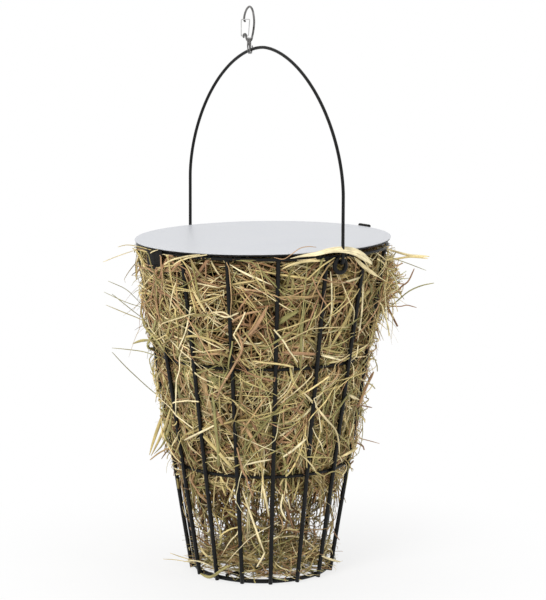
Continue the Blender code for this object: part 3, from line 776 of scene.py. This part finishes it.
def layStrands(name, spec, finish):
    # Strands lie in loose bunches that share a place and a heading. Each has a middle (angle, height, depth
    # under the wall) and a heading from the horizontal. Walking along it, the heading turns evenly, kinks
    # once and ripples; the walk is laid on the wall as a stiff chord or bent round it, and a soft limit keeps
    # every point within the strand's own reach beyond the wall.
    v = lay
    n, m = spec["count"], spec["steps"]
    each = (n, 1)
    t = np.linspace(-0.5, 0.5, m)[None]
    length = np.exp(rng.normal(np.log(spec["length"]), v["lengthVary"], each))
    length = length.clip(v["shortest"], spec["length"] * v["longest"])
    low, high = spec["heights"]
    bunches = n // spec["bunch"]
    own = rng.integers(0, bunches, n)
    z0 = low + (high - low) * (rng.random((bunches, 1)) ** spec["lean"])[own]
    z0 = z0 + rng.normal(0, v["heightVary"], each)
    z0 = low + np.abs(z0 - low)
    z0 = high - np.abs(high - z0)
    angle0 = rng.uniform(*spec["angles"], (bunches, 1))[own] + rng.normal(0, v["angleVary"], each)
    flat = (rng.random((bunches, 1)) < spec["flatShare"])[own]
    course0 = np.where(flat, 0, np.pi / 2) + layField(angle0, z0) * spec["field"]
    heading = course0 + rng.normal(0, 1, (bunches, 1))[own] * spec["bunchSpread"]
    heading = heading + rng.normal(0, spec["spreadAngle"], each)
    heading = heading + np.where(rng.random(each) < 0.5, np.pi, 0)
    turn = rng.normal(0, spec["bend"], each)
    kink = np.where(rng.random(each) < spec["kinks"], rng.normal(0, v["kink"], each), 0)
    kinkPlace = rng.uniform(-v["kinkPlace"], v["kinkPlace"], each)
    ripple = spec["ripple"] * np.sin(v["ripples"] * t + rng.uniform(0, anyPhase, each))
    course = heading + turn * t + kink * (t > kinkPlace) + ripple
    a = np.cumsum(np.cos(course), 1) * length / (m - 1)
    b = np.cumsum(np.sin(course), 1) * length / (m - 1)
    a, b = a - a.mean(1, keepdims=True), b - b.mean(1, keepdims=True)
    depth = rng.uniform(*spec["depths"], each) + length * rng.normal(0, spec["dive"], each) * t
    depth = depth + v["wave"] * np.sin(v["waves"] * t + rng.uniform(0, anyPhase, each))
    # the walk on the wall
    z = z0 + b
    radius0 = uprightRadius(z0) - depth
    outward = radius0 + b * leanTan
    stiff = rng.random(each) < spec["stiffShare"]
    angle = np.where(stiff, angle0 + np.arctan2(a, outward), angle0 + a / uprightRadius(z0))
    radius = np.where(stiff, np.hypot(outward, a), outward)
    radius = softBelow(radius, wallRadius(z, angle) + rng.uniform(*spec["reach"], each), v["soft"])
    z = softBelow(z.clip(v["lowest"], None), v["highest"], v["lidSoft"])
    paths = around(np.maximum(radius, v["axis"]), angle, z)
    # width, roll, tone and lightness
    shape = bodyProfile(n, m, rng.random(n) < spec["blunt"])
    width = np.exp(rng.normal(np.log(spec["width"]), spec["widthSpread"], each))
    width = width.clip(v["finest"], spec["width"] * v["broadest"]) * shape
    out = around(1, angle, v["outUp"])
    roll = rng.normal(0, spec["twist"], each) + rng.normal(0, v["rollTurn"], each) * t
    side = unit(np.cross(unit(np.gradient(paths, axis=1)), out))
    hints = out * np.cos(roll)[..., None] + side * np.sin(roll)[..., None]
    shared = rng.random(n) < v["bunchTone"]
    tone = np.where(shared, rng.choice(spec["tones"], bunches)[own], rng.choice(spec["tones"], n))
    tone = tone + rng.normal(0, hay["toneVary"], n)
    # painted shade: a strand's lightness falls with how deep it lies under the wall, standing in for the shade
    # in the load; each layer takes its own share of it
    depthShade = np.interp(depth.mean(1), v["depthMarks"], v["depthPaintedShade"])
    depthShade = 1 + (depthShade - 1) * spec["depthShadeShare"]
    light = (rng.normal(*spec["light"], n) * depthShade).clip(v["darkest"], hay["brightest"])
    strandPiece(name, paths, width, spec["thickness"], hints, tone, light, finish, v["thinnest"])


# shares of each colour: pinkish brown, tan, olive, pale olive, straw and pale straw
mixedTones = [0.10, 0.15, 0.22, 0.30, 0.40, 0.44, 0.48, 0.54, 0.58, 0.62, 0.66, 0.70, 0.78, 0.82, 0.88, 0.92]
warmTones = [0.06, 0.12, 0.17, 0.22, 0.27, 0.33, 0.44, 0.50, 0.58, 0.64, 0.70, 0.76, 0.80, 0.86, 0.90]
darkTones = [0.02, 0.08, 0.12, 0.30, 0.40, 0.44, 0.48, 0.55]
paleTones = [0.22, 0.62, 0.70, 0.76, 0.80, 0.86, 0.90, 0.94]
common = {"steps": 8, "bend": 0.30, "kinks": 0.16, "ripple": 0.05, "dive": 0.12, "stiffShare": 0.75,
          "thickness": 0.6, "twist": 0.5, "bunch": 5, "field": 0.6, "bunchSpread": 0.45, "spreadAngle": 0.28,
          "blunt": 0.6, "widthSpread": 0.36, "lean": 1.0, "depthShadeShare": 1.0, "angles": (0, 2 * np.pi),
          "tones": mixedTones, "finish": stemFinish}
layers = {
    "hayInner": dict(count=1350, length=0.085, heights=(0.080, 0.300), depths=(0.012, 0.028), flatShare=0.5,
                     reach=(-0.014, -0.007), width=0.0023, light=(0.95, 0.15), thickness=0.35,
                     tones=darkTones),
    "hayUpper": dict(count=1700, length=0.056, heights=(0.190, 0.308), depths=(-0.002, 0.013), flatShare=0.62,
                     reach=(-0.004, 0.002), width=0.00155, light=(1.0, 0.17), tones=warmTones),
    "hayMiddle": dict(count=1750, length=0.056, heights=(0.090, 0.215), depths=(-0.002, 0.012),
                      flatShare=0.28, reach=(-0.004, 0.002), width=0.00150, light=(0.97, 0.17)),
    "hayBlades": dict(count=760, length=0.066, heights=(0.105, 0.306), depths=(-0.001, 0.011), flatShare=0.5,
                      reach=(-0.003, 0.002), width=0.0030, light=(0.98, 0.15), steps=11, thickness=0.12,
                      twist=0.6, blunt=0.2, bend=0.7, bunch=3, finish=bladeFinish),
    "hayFine": dict(count=650, length=0.044, heights=(0.095, 0.308), depths=(-0.003, 0.006), flatShare=0.5,
                    reach=(-0.002, 0.005), width=0.00075, light=(1.05, 0.14), tones=paleTones, steps=9,
                    bend=1.1, kinks=0.35),
    "hayOver": dict(count=330, length=0.046, heights=(0.110, 0.304), depths=(-0.008, -0.003), flatShare=0.55,
                    reach=(0.004, 0.009), width=0.0014, light=(1.02, 0.12), steps=9, dive=0.14, bunch=2),
    "hayLow": dict(count=800, length=0.036, heights=(0.010, 0.112), depths=(0.001, 0.046), flatShare=0.45,
                   reach=(-0.012, 0.002), width=0.00145, light=(1.10, 0.16), steps=9, depthShadeShare=0.3, bend=1.0,
                   kinks=0.35, dive=0.4, lean=1.1, spreadAngle=0.7),
    "hayLeftTuft": dict(count=130, length=0.042, heights=(0.225, 0.304), depths=(-0.010, -0.002),
                        flatShare=0.5, reach=(0.004, 0.010), width=0.0015, light=(1.0, 0.14), dive=0.2,
                        bunch=3, angles=(math.radians(-110), math.radians(-74)))}
for name, own in layers.items():
    spec = {**common, **own}
    layStrands(name, spec, spec["finish"])

crown = {"count": 1000, "steps": 8, "length": (0.04, 0.13), "spread": 0.104, "reach": 0.1115, "bend": 0.5,
         "heights": (0.296, 0.3105), "slope": 0.03, "wave": 0.001, "highest": 0.3115,
         "width": (0.0007, 0.0024), "flatness": 0.4, "lean": 0.3, "light": (0.92, 0.12)}


def discLine(r0, a0, length, way, t):
    # x and y of a line through a point of a disc
    return r0 * np.cos(a0) + length * t * np.cos(way), r0 * np.sin(a0) + length * t * np.sin(way)


def hayCrown():
    # strands on top of the load, under the closed lid: nearly straight chords of a disc, a little tilted
    c = crown
    n, m = c["count"], c["steps"]
    each = (n, 1)
    t = np.linspace(-0.5, 0.5, m)[None]
    length = rng.uniform(*c["length"], each)
    r0, a0 = c["spread"] * np.sqrt(rng.random(each)), rng.uniform(0, 2 * np.pi, each)
    way = rng.uniform(0, 2 * np.pi, each) + rng.normal(0, c["bend"], each) * t
    x, y = discLine(r0, a0, length, way, t)
    shrink = np.minimum(1, c["reach"] / np.maximum(np.hypot(x, y), 1e-6))
    z = rng.uniform(*c["heights"], each) + length * rng.normal(0, c["slope"], each) * t
    z = z + c["wave"] * np.sin(8 * t + a0)
    paths = np.stack([x * shrink, y * shrink, np.minimum(z, c["highest"])], -1)
    width = rng.uniform(*c["width"], each) * bodyProfile(n, m, rng.random(n) < 0.5)
    hints = np.zeros_like(paths) + upward
    hints[..., 0] += rng.normal(0, c["lean"], each)
    tone = pickTones(mixedTones, n)
    light = rng.normal(*c["light"], n)
    strandPiece("hayCrown", paths, width, c["flatness"], hints, tone, light, stemFinish)


hayCrown()

tuft = {"steps": 8, "spread": 1.8, "heightSpread": 1.9, "lengthVary": 0.35, "slope": (0.75, 0.8, 0.9),
        "bow": 0.18, "bell": 1.5, "under": -0.012, "place": (-0.4, 0.55), "stand": (0.6, 1.15),
        "least": 0.003, "soft": 0.002, "highest": 0.3095, "lidSoft": 0.0015, "width": 0.0012,
        "widthVary": 0.35, "flatness": 0.6, "light": (1.12, 0.12)}
tufts = [  # count, middle angle and its spread, middle height and its spread, stand-out, length
    (400, 57, 12, 0.274, 0.018, 0.026, 0.032), (90, 55, 14, 0.215, 0.020, 0.006, 0.026),
    (70, 235, 12, 0.262, 0.024, 0.007, 0.026), (60, 233, 12, 0.195, 0.028, 0.005, 0.026),
    (70, 56, 12, 0.135, 0.020, 0.007, 0.026), (60, 234, 12, 0.125, 0.018, 0.005, 0.026),
    (260, 145, 62, 0.205, 0.055, 0.007, 0.028)]


def tuftPaths(n, middle, spread, height, heightSpread, standOut, length):
    # each straw is a straight line, bent a little, through a point near the wall; its slope is random in all
    # three ways, and a bell curve of the height limits how far it stands out from the wires
    c = tuft
    each = (n, 1)
    t = np.linspace(-0.5, 0.5, c["steps"])[None, :, None]
    angle = np.radians(middle + spread * rng.normal(0, 1, each).clip(-c["spread"], c["spread"]))
    z = height + heightSpread * rng.normal(0, 1, each).clip(-c["heightSpread"], c["heightSpread"])
    long = length * np.exp(rng.normal(0, c["lengthVary"], each))
    slope = unit(rng.normal(0, 1, (n, 1, 3)) * c["slope"])
    bow = rng.normal(0, c["bow"], (n, 1, 3))
    swing = (t * slope + (t ** 2 - 0.08) * bow) * long[..., None]
    bell = standOut * np.exp(-((z - height) / (c["bell"] * heightSpread)) ** 2)
    radius0 = uprightRadius(z) + rng.uniform(c["under"], 1.0, each).clip(c["under"], 0)
    radius0 = radius0 + bell * rng.uniform(*c["place"], each)
    limit = uprightRadius(z) + c["least"] + bell * rng.uniform(*c["stand"], each)
    radius = softBelow(radius0 + swing[..., 0], limit, c["soft"])
    z = softBelow(z + swing[..., 2], c["highest"], c["lidSoft"])
    return around(radius, angle + swing[..., 1] / radius0, z)


def hayTufts():
    c = tuft
    paths = np.concatenate([tuftPaths(*row) for row in tufts])
    n = len(paths)
    width = np.exp(rng.normal(np.log(c["width"]), c["widthVary"], (n, 1)))
    width = width * bodyProfile(n, c["steps"], rng.random(n) < 0.5)
    hints = unit(rng.normal(0, 1, (n, 1, 3))) + np.zeros_like(paths)
    tone = pickTones(mixedTones + paleTones, n)
    light = rng.normal(*c["light"], n)
    strandPiece("hayTufts", paths, width, c["flatness"], hints, tone, light, stemFinish)


hayTufts()

litter = {"count": 720, "steps": 8, "spread": 0.066, "bend": 0.8, "length": (0.02, 0.06),
          "reach": (0.064, 0.079), "foot": 0.0042, "height": 0.022, "pile": 1.4, "slope": 0.16,
          "lowest": 0.0030, "width": (0.0005, 0.0016), "flatness": 0.5, "light": (1.12, 0.12)}


def hayFloor():
    # strands that lie on the floor wires: curved lines in a disc, in a layer a few millimetres thick
    c = litter
    n, m = c["count"], c["steps"]
    each = (n, 1)
    t = np.linspace(-0.5, 0.5, m)[None]
    r0, a0 = c["spread"] * np.sqrt(rng.random(each)), rng.uniform(0, 2 * np.pi, each)
    way = rng.uniform(0, 2 * np.pi, each) + rng.normal(0, c["bend"], each) * t
    length = rng.uniform(*c["length"], each)
    x, y = discLine(r0, a0, length, way, t)
    shrink = np.minimum(1, rng.uniform(*c["reach"], each) / np.maximum(np.hypot(x, y), 1e-6))
    z = c["foot"] + c["height"] * rng.random(each) ** c["pile"]
    z = z + length * rng.normal(0, c["slope"], each) * t
    paths = np.stack([x * shrink, y * shrink, z.clip(c["lowest"], None)], -1)
    width = rng.uniform(*c["width"], each) * bodyProfile(n, m, rng.random(n) < 0.5)
    tone = pickTones(mixedTones, n)
    hints = np.zeros_like(paths) + upward
    light = rng.normal(*c["light"], n)
    strandPiece("hayFloor", paths, width, c["flatness"], hints, tone, light, stemFinish)


hayFloor()

# Strands that the photograph shows one by one
matrix = np.array(camera.matrix_world)
eyePoint = matrix[:3, 3]
drawing = {"steps": 18, "near": 0.22, "far": 0.14, "sightSteps": 900, "lowest": 0.0012, "under": 0.0005,
           "forward": 0.0045, "lean": 0.2, "roll": 0.3, "light": 1.06}


def onWall(pixels, lift):
    # the point where the sight line of a pixel meets the cage's cone at a lift outside the uprights, or
    # passes nearest to it
    px = np.asarray(pixels, float)
    u = (px[:, 0] - photo["aimPixel"][0]) / photo["focalPixels"]
    v = (photo["aimPixel"][1] - px[:, 1]) / photo["focalPixels"]
    ray = unit(u[:, None] * matrix[:3, 0] + v[:, None] * matrix[:3, 1] - matrix[:3, 2])
    away = photo["distance"]
    t = np.linspace(away - drawing["near"], away + drawing["far"], drawing["sightSteps"])
    spots = eyePoint + ray[:, None] * t[None, :, None]
    beyond = np.hypot(spots[..., 0], spots[..., 1]) - uprightRadius(spots[..., 2]) - cage["uprightWire"]
    beyond = beyond - np.asarray(lift)[:, None]
    crossed = beyond < 0
    first = np.where(crossed.any(1), crossed.argmax(1), beyond.argmin(1))
    found = spots[np.arange(len(px)), first]
    found[:, 2] = found[:, 2].clip(drawing["lowest"], None)
    return found


# tone; width, and lift outside the wires at both ends and the middle, in millimetres; points in pixels
drawnStems = [
    (0.82, 1.3, (5.0, 6.0, 8.0), [(372, 272), (382, 279), (391.9, 284.6), (402.5, 290.5)]),
    (0.92, 1.0, (4.0, 4.0, 4.0), [(362, 255.5), (368, 259.5), (372.5, 263)]),
    (0.94, 1.0, (4.0, 4.0, 4.0), [(362, 256.5), (367.5, 262), (370.6, 266.5)]),
    (0.9, 0.8, (4.0, 4.0, 4.0), [(360, 256), (365.5, 262.5), (368.6, 268)]),
    (0.94, 0.8, (4.0, 4.0, 4.0), [(361, 254.5), (368, 257.5), (374, 260)]),
    (0.7, 1.4, (-4.0, 2.0, 2.0), [(304.6, 282.2), (321.1, 266.9), (335.2, 257.4)]),
    (0.2, 0.8, (2.0, 3.5, 3.5), [(273.9, 257.4), (283.3, 259.2), (290.4, 255.1), (299.8, 248.4),
     (308.1, 246.6), (316.3, 247.2)]),
    (0.45, 0.8, (-2.0, 8.0, 8.0), [(384, 255.5), (404, 262), (426, 270.4)]),
    (0.88, 1.0, (0.0, 3.0, 1.0), [(376.5, 252.7), (386, 261), (383.6, 270.4), (377.7, 276.9)]),
    (0.08, 1.7, (8.0, 6.0, 2.0), [(414.3, 268.6), (408.4, 281), (402.5, 285.7), (396.6, 291.6), (388, 300)]),
    (0.5, 1.3, (0.0, 6.0, 8.0), [(384, 312), (396, 302), (408.4, 291.6), (421.4, 285.7), (434, 283)]),
    (0.12, 1.1, (0.0, 5.0, 8.0), [(388, 306), (400.1, 306.4), (407.2, 305.2), (416.6, 307.6)]),
    (0.92, 1.5, (1.5, 1.5, -3.0), [(330.5, 271.6), (331.7, 288.1), (330.5, 317.6), (321.1, 330.6)]),
    (0.88, 1.7, (0.5, 1.5, -3.0), [(363, 284.6), (361.8, 311.7), (357.6, 341.2)]),
    (0.84, 1.2, (-3.0, 0.5, -2.0), [(338.8, 275.1), (349.4, 301.1), (354.1, 310.5), (352.9, 324.7)]),
    (0.92, 2.2, (-3.0, 1.0, -1.0), [(342.9, 282.8), (360, 277.5)]),
    (0.9, 2.0, (-3.0, 1.0, 1.0), [(321.1, 355.3), (341.1, 360.1)]),
    (0.16, 3.0, (3.0, 5.0, 1.0), [(373.5, 372), (367.1, 384.8), (361.2, 399), (357, 408)]),
    (0.84, 1.8, (0.0, 2.0, 1.5), [(139.2, 291.8), (146, 283), (155.5, 272.9), (165, 263.8), (173.4, 259.4),
     (188.1, 256), (200, 254.6)]),
    (0.84, 1.6, (0.0, 1.5, 2.0), [(168, 270), (178, 262), (190, 257.5), (207, 254.8)]),
    (0.84, 1.5, (-2.0, 1.0, 0.5), [(167, 279), (163, 291), (160.8, 301)]),
    (0.8, 1.6, (-1.0, 1.0, -1.0), [(176.5, 285), (174.4, 293), (181, 293.6)]),
    (0.72, 1.6, (-4.0, -2.0, -4.0), [(183.9, 305), (202, 301), (221.8, 295.5)]),
    (0.86, 1.5, (-4.0, -2.0, -4.0), [(192, 282), (208, 285.5), (221, 288)]),
    (0.88, 1.8, (-3.0, 1.0, -2.0), [(213.4, 312.3), (226, 317.1), (238.6, 312.9)]),
    (0.88, 1.5, (-3.0, 1.0, -2.0), [(213.4, 312.3), (224, 312.6), (234, 320)]),
    (0.46, 0.7, (8.0, 6.0, 0.0), [(108, 281), (125, 288.7), (134.5, 297), (142, 305)]),
    (0.55, 0.7, (8.0, 6.0, 0.0), [(104, 292), (125, 301.8), (142.9, 307.6)]),
    (0.6, 0.9, (8.0, 6.0, 0.0), [(106, 305), (125, 312.9), (140, 319), (152, 326)]),
    (0.44, 0.8, (8.0, 6.0, 0.0), [(112, 294), (125, 304.5), (137, 314), (147, 321)]),
    (0.56, 0.9, (8.0, 6.0, 0.0), [(112, 348), (125, 349.2), (143.9, 351.8), (160.8, 357.6)]),
    (0.44, 0.9, (8.0, 5.0, 1.0), [(112, 352), (125, 366), (135.5, 376), (148.2, 387.6), (160.8, 398)]),
    (0.8, 0.8, (8.0, 4.0, 1.0), [(103, 262), (118, 256), (135.5, 250)]),
    (0.18, 2.2, (-2.0, 1.5, -2.0), [(236, 330), (241, 342), (241.8, 350.8), (231.3, 370.7), (223, 384),
     (216.6, 398.1)]),
    (0.66, 1.0, (4.0, 3.0, 2.0), [(118, 247), (126, 245), (135.5, 246), (151.3, 250)]),
    (0.84, 1.2, (-1.0, 2.0, 2.0), [(147.1, 256.5), (152, 252), (158, 249.8)]),
    (0.3, 1.6, (4.0, 4.0, 0.0), [(150, 460), (159, 453), (171, 447)]),
    (0.9, 2.2, (-2.0, 1.5, -2.0), [(184.1, 440.2), (199, 433), (216, 424.6)]),
    (0.93, 0.8, (0.5, 1.5, 0.5), [(281, 408), (278.5, 420.8), (274.5, 440.9), (257.1, 451.6), (242.4, 470.3),
     (237, 491.8), (235.7, 501.1), (249.1, 522.5)]),
    (0.86, 2.0, (-3.0, -1.0, -1.0), [(242.4, 490.4), (254.4, 525.2), (264.5, 553.3)]),
    (0.88, 1.8, (-1.0, -1.0, -1.0), [(265, 552), (261, 560), (256.6, 567)]),
    (0.9, 1.8, (-3.0, 0.0, -3.0), [(244.4, 465), (257, 462), (271.5, 459.2)]),
    (0.8, 0.8, (6.0, 3.0, -2.0), [(163, 559), (177, 560), (196, 563.5)]),
    (0.74, 0.9, (6.0, 3.0, -2.0), [(170, 553), (183, 557.5), (200, 562)]),
    (0.88, 1.4, (2.0, 2.0, -2.0), [(184, 561.5), (197, 561), (212, 566)]),
    (0.9, 0.8, (-2.0, 1.0, -2.0), [(226.3, 562.7), (240, 548), (253.1, 535.9), (280, 521.2)]),
    (0.9, 2.4, (-2.0, 0.5, -2.0), [(283.1, 457), (295, 448.5), (306.5, 438.5)]),
    (0.04, 1.4, (-2.0, 4.0, 4.0), [(350, 404.7), (362, 405.6), (372, 407.6)]),
    (0.18, 0.9, (0.0, 4.0, 6.0), [(353, 436), (361, 438.6), (371, 441.2), (379.6, 443.6)]),
    (0.9, 1.8, (-3.0, -1.0, -2.0), [(283, 494), (281, 508), (286, 520)]),
    (0.84, 1.6, (-3.0, -1.0, -1.0), [(269, 398), (271, 415), (265, 433)]),
    (0.86, 2.2, (1.0, 2.5, 3.0), [(322, 556), (331, 559.5), (340, 561.8)]),
    (0.06, 1.3, (1.0, 2.0, 3.0), [(333, 531), (336.4, 536), (339.4, 540)]),
    (0.62, 1.0, (-3.0, 1.0, 1.0), [(309, 466.5), (318, 473), (325, 477)]),
    (0.6, 1.1, (-3.0, 1.0, 1.0), [(323, 476.5), (333, 471.5), (343.5, 474)]),
    (0.7, 1.4, (-2.0, 0.0, 0.0), [(304, 441), (306, 455), (307, 468)])]
drawnBlades = [
    (0.9, (3.2, 4.2, 5.6, 8.0, 9.0, 7.0), (1.0, 6.0, 4.0), [(290, 258.6), (302, 256), (316.3, 253.9),
     (327, 251), (337.6, 249.6), (349.4, 250.4), (358.8, 253.7), (367.1, 259.6), (371.8, 264.3)]),
    (0.84, 4.2, (2.0, 5.0, 6.0), [(354, 257), (360, 263), (367.1, 269.2), (377.7, 276.3)]),
    (0.8, 2.6, (-4.0, 2.0, -1.0), [(279.8, 270.4), (290.4, 265.1), (304.6, 261.5), (328.1, 260.4)]),
    (0.84, (1.6, 2.6, 4.2), (-2.0, 8.0, 8.0), [(384, 247.5), (392, 250.5), (408.4, 255.1), (418, 256),
     (429.5, 256.4)]),
    (0.78, 2.2, (-2.0, 6.0, 8.0), [(384, 260.5), (398, 258.6), (411, 256.8), (428, 258.6)]),
    (0.13, 3.8, (-4.0, -2.0, -3.0), [(281, 352), (296, 353.4), (318.7, 354.2)]),
    (0.16, 3.6, (-4.0, -2.0, -3.0), [(278.6, 345.9), (284, 338), (290.4, 331.7)]),
    (0.44, 5.2, (-4.0, -2.0, -3.0), [(277.4, 324.7), (287, 317), (298.7, 310.5)]),
    (0.62, 2.8, (-3.0, -1.0, -2.0), [(289.2, 363.6), (293.9, 382.5), (306.9, 399.9)]),
    (0.84, 1.9, (0.5, 1.5, 1.0), [(159.2, 275.5), (160.3, 308.7), (159.2, 324.4), (161.8, 345.5)]),
    (0.8, 2.7, (-4.0, -2.0, -2.0), [(190.2, 285.5), (197, 298), (206, 313.4)]),
    (0.66, 2.3, (-3.0, 1.5, -3.0), [(166, 346.5), (173.4, 340.2), (188.1, 336.5), (198.7, 336.5),
     (211.3, 340.2), (226, 346.5)]),
    (0.6, 3.6, (9.0, 5.0, -2.0), [(132.4, 343.9), (141, 340.8), (150.3, 340.6), (162, 345)]),
    (0.22, 1.9, (-3.0, -1.0, -3.0), [(193.4, 355.5), (214.4, 353.9), (222.9, 355)]),
    (0.14, 4.2, (-3.0, -2.0, -4.0), [(268, 306), (256.5, 325.5), (246, 338.1)]),
    (0.2, 2.6, (-3.0, -1.0, -4.0), [(262, 311), (246, 314), (232, 322), (222, 331)]),
    (0.22, 2.8, (1.0, 1.5, 0.5), [(161, 272.5), (168, 269.4), (176, 267.6)]),
    (0.66, (2.5, 4.2, 3.4), (2.0, 5.0, 6.0), [(169.5, 403), (160.7, 420.8), (152.7, 443.6), (149.5, 455)]),
    (0.72, (2.5, 3.6, 3.0), (2.0, 5.0, 6.0), [(171.5, 405), (166, 424), (158.5, 441), (151, 456)]),
    (0.58, (2.0, 3.4, 2.4), (2.0, 5.0, 5.0), [(173, 409), (169, 428), (163, 444), (154, 454)]),
    (0.72, 3.4, (-3.0, 1.0, -1.0), [(196.9, 428.8), (214, 447), (226, 461), (236.5, 472.5)]),
    (0.14, 4.2, (-4.0, -2.0, -3.0), [(213, 409), (218, 416), (223.5, 425)]),
    (0.24, 4.0, (-4.0, -2.0, -3.0), [(242.4, 419.5), (251.8, 438.2), (259.8, 451.6)]),
    (0.84, 2.4, (-4.0, -2.0, -3.0), [(262.5, 485), (266, 500), (269.2, 517.2)]),
    (0.58, 3.2, (0.5, 2.5, 3.0), [(198.5, 587.5), (210.2, 577.1), (222.3, 569.5), (231, 565)]),
    (0.86, 2.4, (-3.0, 1.5, 0.5), [(297, 387), (308, 397), (316.6, 407.4), (326, 419), (335.4, 430.2),
     (338.6, 442), (339.4, 454.3)]),
    (0.86, 3.4, (-3.0, 1.0, 1.0), [(346, 393), (353, 397), (360.5, 401)]),
    (0.8, 3.2, (-3.0, 2.0, 5.0), [(339, 457.5), (347, 454), (358, 447.5)])]


def drawnStrands(name, rows, finish, flatness, slim):
    # each strand is a smooth curve through its points on the wall, with its flat side to the camera; one that
    # passes under the wires comes forward between the uprights
    c = drawing
    n, steps = len(rows), c["steps"]
    t = np.linspace(0, 1, steps)
    paths, widths, least = [], [], []
    for _, width, lifts, pixels in rows:
        lift = np.interp(np.linspace(0, 1, len(pixels)), (0, 0.5, 1), np.array(lifts) / 1000)
        paths.append(resample(catmull(onWall(pixels, lift), 10), steps))
        widths.append(np.interp(t, np.linspace(0, 1, np.size(width)), np.atleast_1d(width)) / 1000)
        least.append(min(lift))
    paths = np.array(paths)
    toEye = unit(eyePoint - paths)
    hidden = np.array(least)[:, None] < c["under"]
    swell = betweenUprights(np.arctan2(paths[..., 1], paths[..., 0]))
    paths = paths + toEye * (c["forward"] * swell * hidden)[..., None]
    width = np.array(widths) * (slim + (1 - slim) * (1 - np.abs(2 * t - 1) ** 4))
    lean = rng.normal(0, c["lean"], (n, 1, 1))
    lean = lean + c["roll"] * np.sin(5 * t + rng.uniform(0, 6, (n, 1)))[..., None]
    hints = toEye + unit(np.cross(unit(np.gradient(paths, axis=1)), toEye)) * lean
    tone = np.array([row[0] for row in rows])
    strandPiece(name, paths, width, flatness, hints, tone, np.full(n, c["light"]), finish, sides=6)


drawnStrands("drawnStems", drawnStems, stemFinish, 0.75, 0.5)
drawnStrands("drawnBlades", drawnBlades, bladeFinish, 0.10, 0.16)

ends = {"steps": 9, "length": (0.5, 1.35), "slide": 1.3, "droop": -0.1, "lift": 1.0, "curl": 0.35,
        "root": 0.004, "highest": 0.309, "lidShare": 0.12, "lowest": 0.0008, "width": 0.00075,
        "widthVary": 0.45, "taper": 0.75, "flatness": 0.7, "darkTones": [0.04, 0.12], "light": (0.95, 0.1)}
fans = [  # count, middle angle and its spread, lowest and highest, reach
    (40, 235, 30, 0.235, 0.305, 0.016), (26, 57, 16, 0.245, 0.305, 0.020),
    (26, 57, 20, 0.150, 0.240, 0.011), (40, 235, 24, 0.110, 0.235, 0.010),
    (200, 145, 180, 0.090, 0.305, 0.009), (70, 145, 180, 0.004, 0.090, 0.006)]


def fanPaths(n, middle, spread, low, high, reach):
    # each end leaves the wall at an angle and droops or curls as it goes:
    # start + out * length * (1.5t - 0.5t^2) + sideways * (slide * t + curl * t^2) + up * (lift * t - curl * t^2)
    c = ends
    each = (n, 1, 1)
    angle = np.radians(middle + spread * rng.uniform(-1, 1, (n, 1)))
    z = rng.uniform(low, high, (n, 1))
    t = np.linspace(0, 1, c["steps"])[None, :, None]
    length = reach * rng.uniform(*c["length"], each)
    slide = reach * rng.normal(0, c["slide"], each)
    lift = reach * rng.normal(c["droop"], c["lift"], each)
    curl = reach * rng.normal(0, c["curl"], each)
    out, sideways = around(1, angle, 0), around(1, angle + np.pi / 2, 0)
    start = around(wallRadius(z, angle) - c["root"], angle, z)
    return (start + out * length * (1.5 * t - 0.5 * t ** 2) + sideways * (slide * t + curl * t ** 2)
            + upward * (lift * t - curl * t ** 2))


def looseEnds():
    # thin ends that stick out of the load; those that would reach the lid are pressed flat under it
    c = ends
    paths = np.concatenate([fanPaths(*row) for row in fans])
    z, top = paths[..., 2], c["highest"]
    paths[..., 2] = np.where(z > top, top + c["lidShare"] * (z - top), z).clip(c["lowest"], None)
    n = len(paths)
    width = np.exp(rng.normal(np.log(c["width"]), c["widthVary"], (n, 1)))
    width = width * (1 - c["taper"] * np.linspace(0, 1, c["steps"])[None] ** 2)
    tone = pickTones(mixedTones + c["darkTones"], n)
    hints = np.zeros_like(paths) + upward
    light = rng.normal(*c["light"], n)
    strandPiece("looseEnds", paths, width, c["flatness"], hints, tone, light, stemFinish, 0)


looseEnds()
print("hay is made")

# Floor
floorLook = {"radii": (0.001, 0.3, 1.0, 3.0, 12.0), "sides": 64, "below": 0.0004, "fade": (0.08, 0.36, 0.76),
             "greys": [(0.3, grey(0.93)), (0.7, grey(0.95))], "roughness": 0.9, "gloss": 0.1, "grain": 30.0}


def paleFloor():
    # flat disc under the base: plain white to the camera far from the object, and close by it keeps the shadow
    c = floorLook
    a = 2 * np.pi * np.arange(c["sides"]) / c["sides"]
    points = around(np.array(c["radii"])[:, None], a, -c["below"]).reshape(-1, 3)
    mesh = bpy.data.meshes.new("paleFloor")
    mesh.from_pydata(points.tolist(), [], ringFaces(len(c["radii"]), c["sides"]).tolist())
    made = bpy.data.materials.new("paleFloor")
    made.use_nodes = True
    tree = made.node_tree
    place = node(tree, "ShaderNodeTexCoord").outputs["Object"]
    colour = ramp(tree, noise(tree, place, c["grain"], detail=2.0), c["greys"])
    shader = feed(tree, tree.nodes["Principled BSDF"], {
        "Base Color": colour, "Roughness": c["roughness"], "Specular IOR Level": c["gloss"]})
    far = node(tree, "ShaderNodeVectorMath", {0: place}, operation="LENGTH").outputs["Value"]
    fade = mapRange(tree, far, *c["fade"], interpolation_type="SMOOTHSTEP")
    factor = maths(tree, "MULTIPLY", fade, seenDirectly(tree))
    glow = node(tree, "ShaderNodeEmission", {"Color": studio["white"], "Strength": 1.0})
    both = node(tree, "ShaderNodeMixShader", {"Fac": factor, 1: shader.outputs[0], 2: glow.outputs[0]})
    feed(tree, tree.nodes["Material Output"], {"Surface": both.outputs[0]})
    mesh.materials.append(made)
    floor = bpy.data.objects.new("paleFloor", mesh)
    scene.collection.objects.link(floor)


paleFloor()
print("floor is made")

bpy.context.view_layer.update()
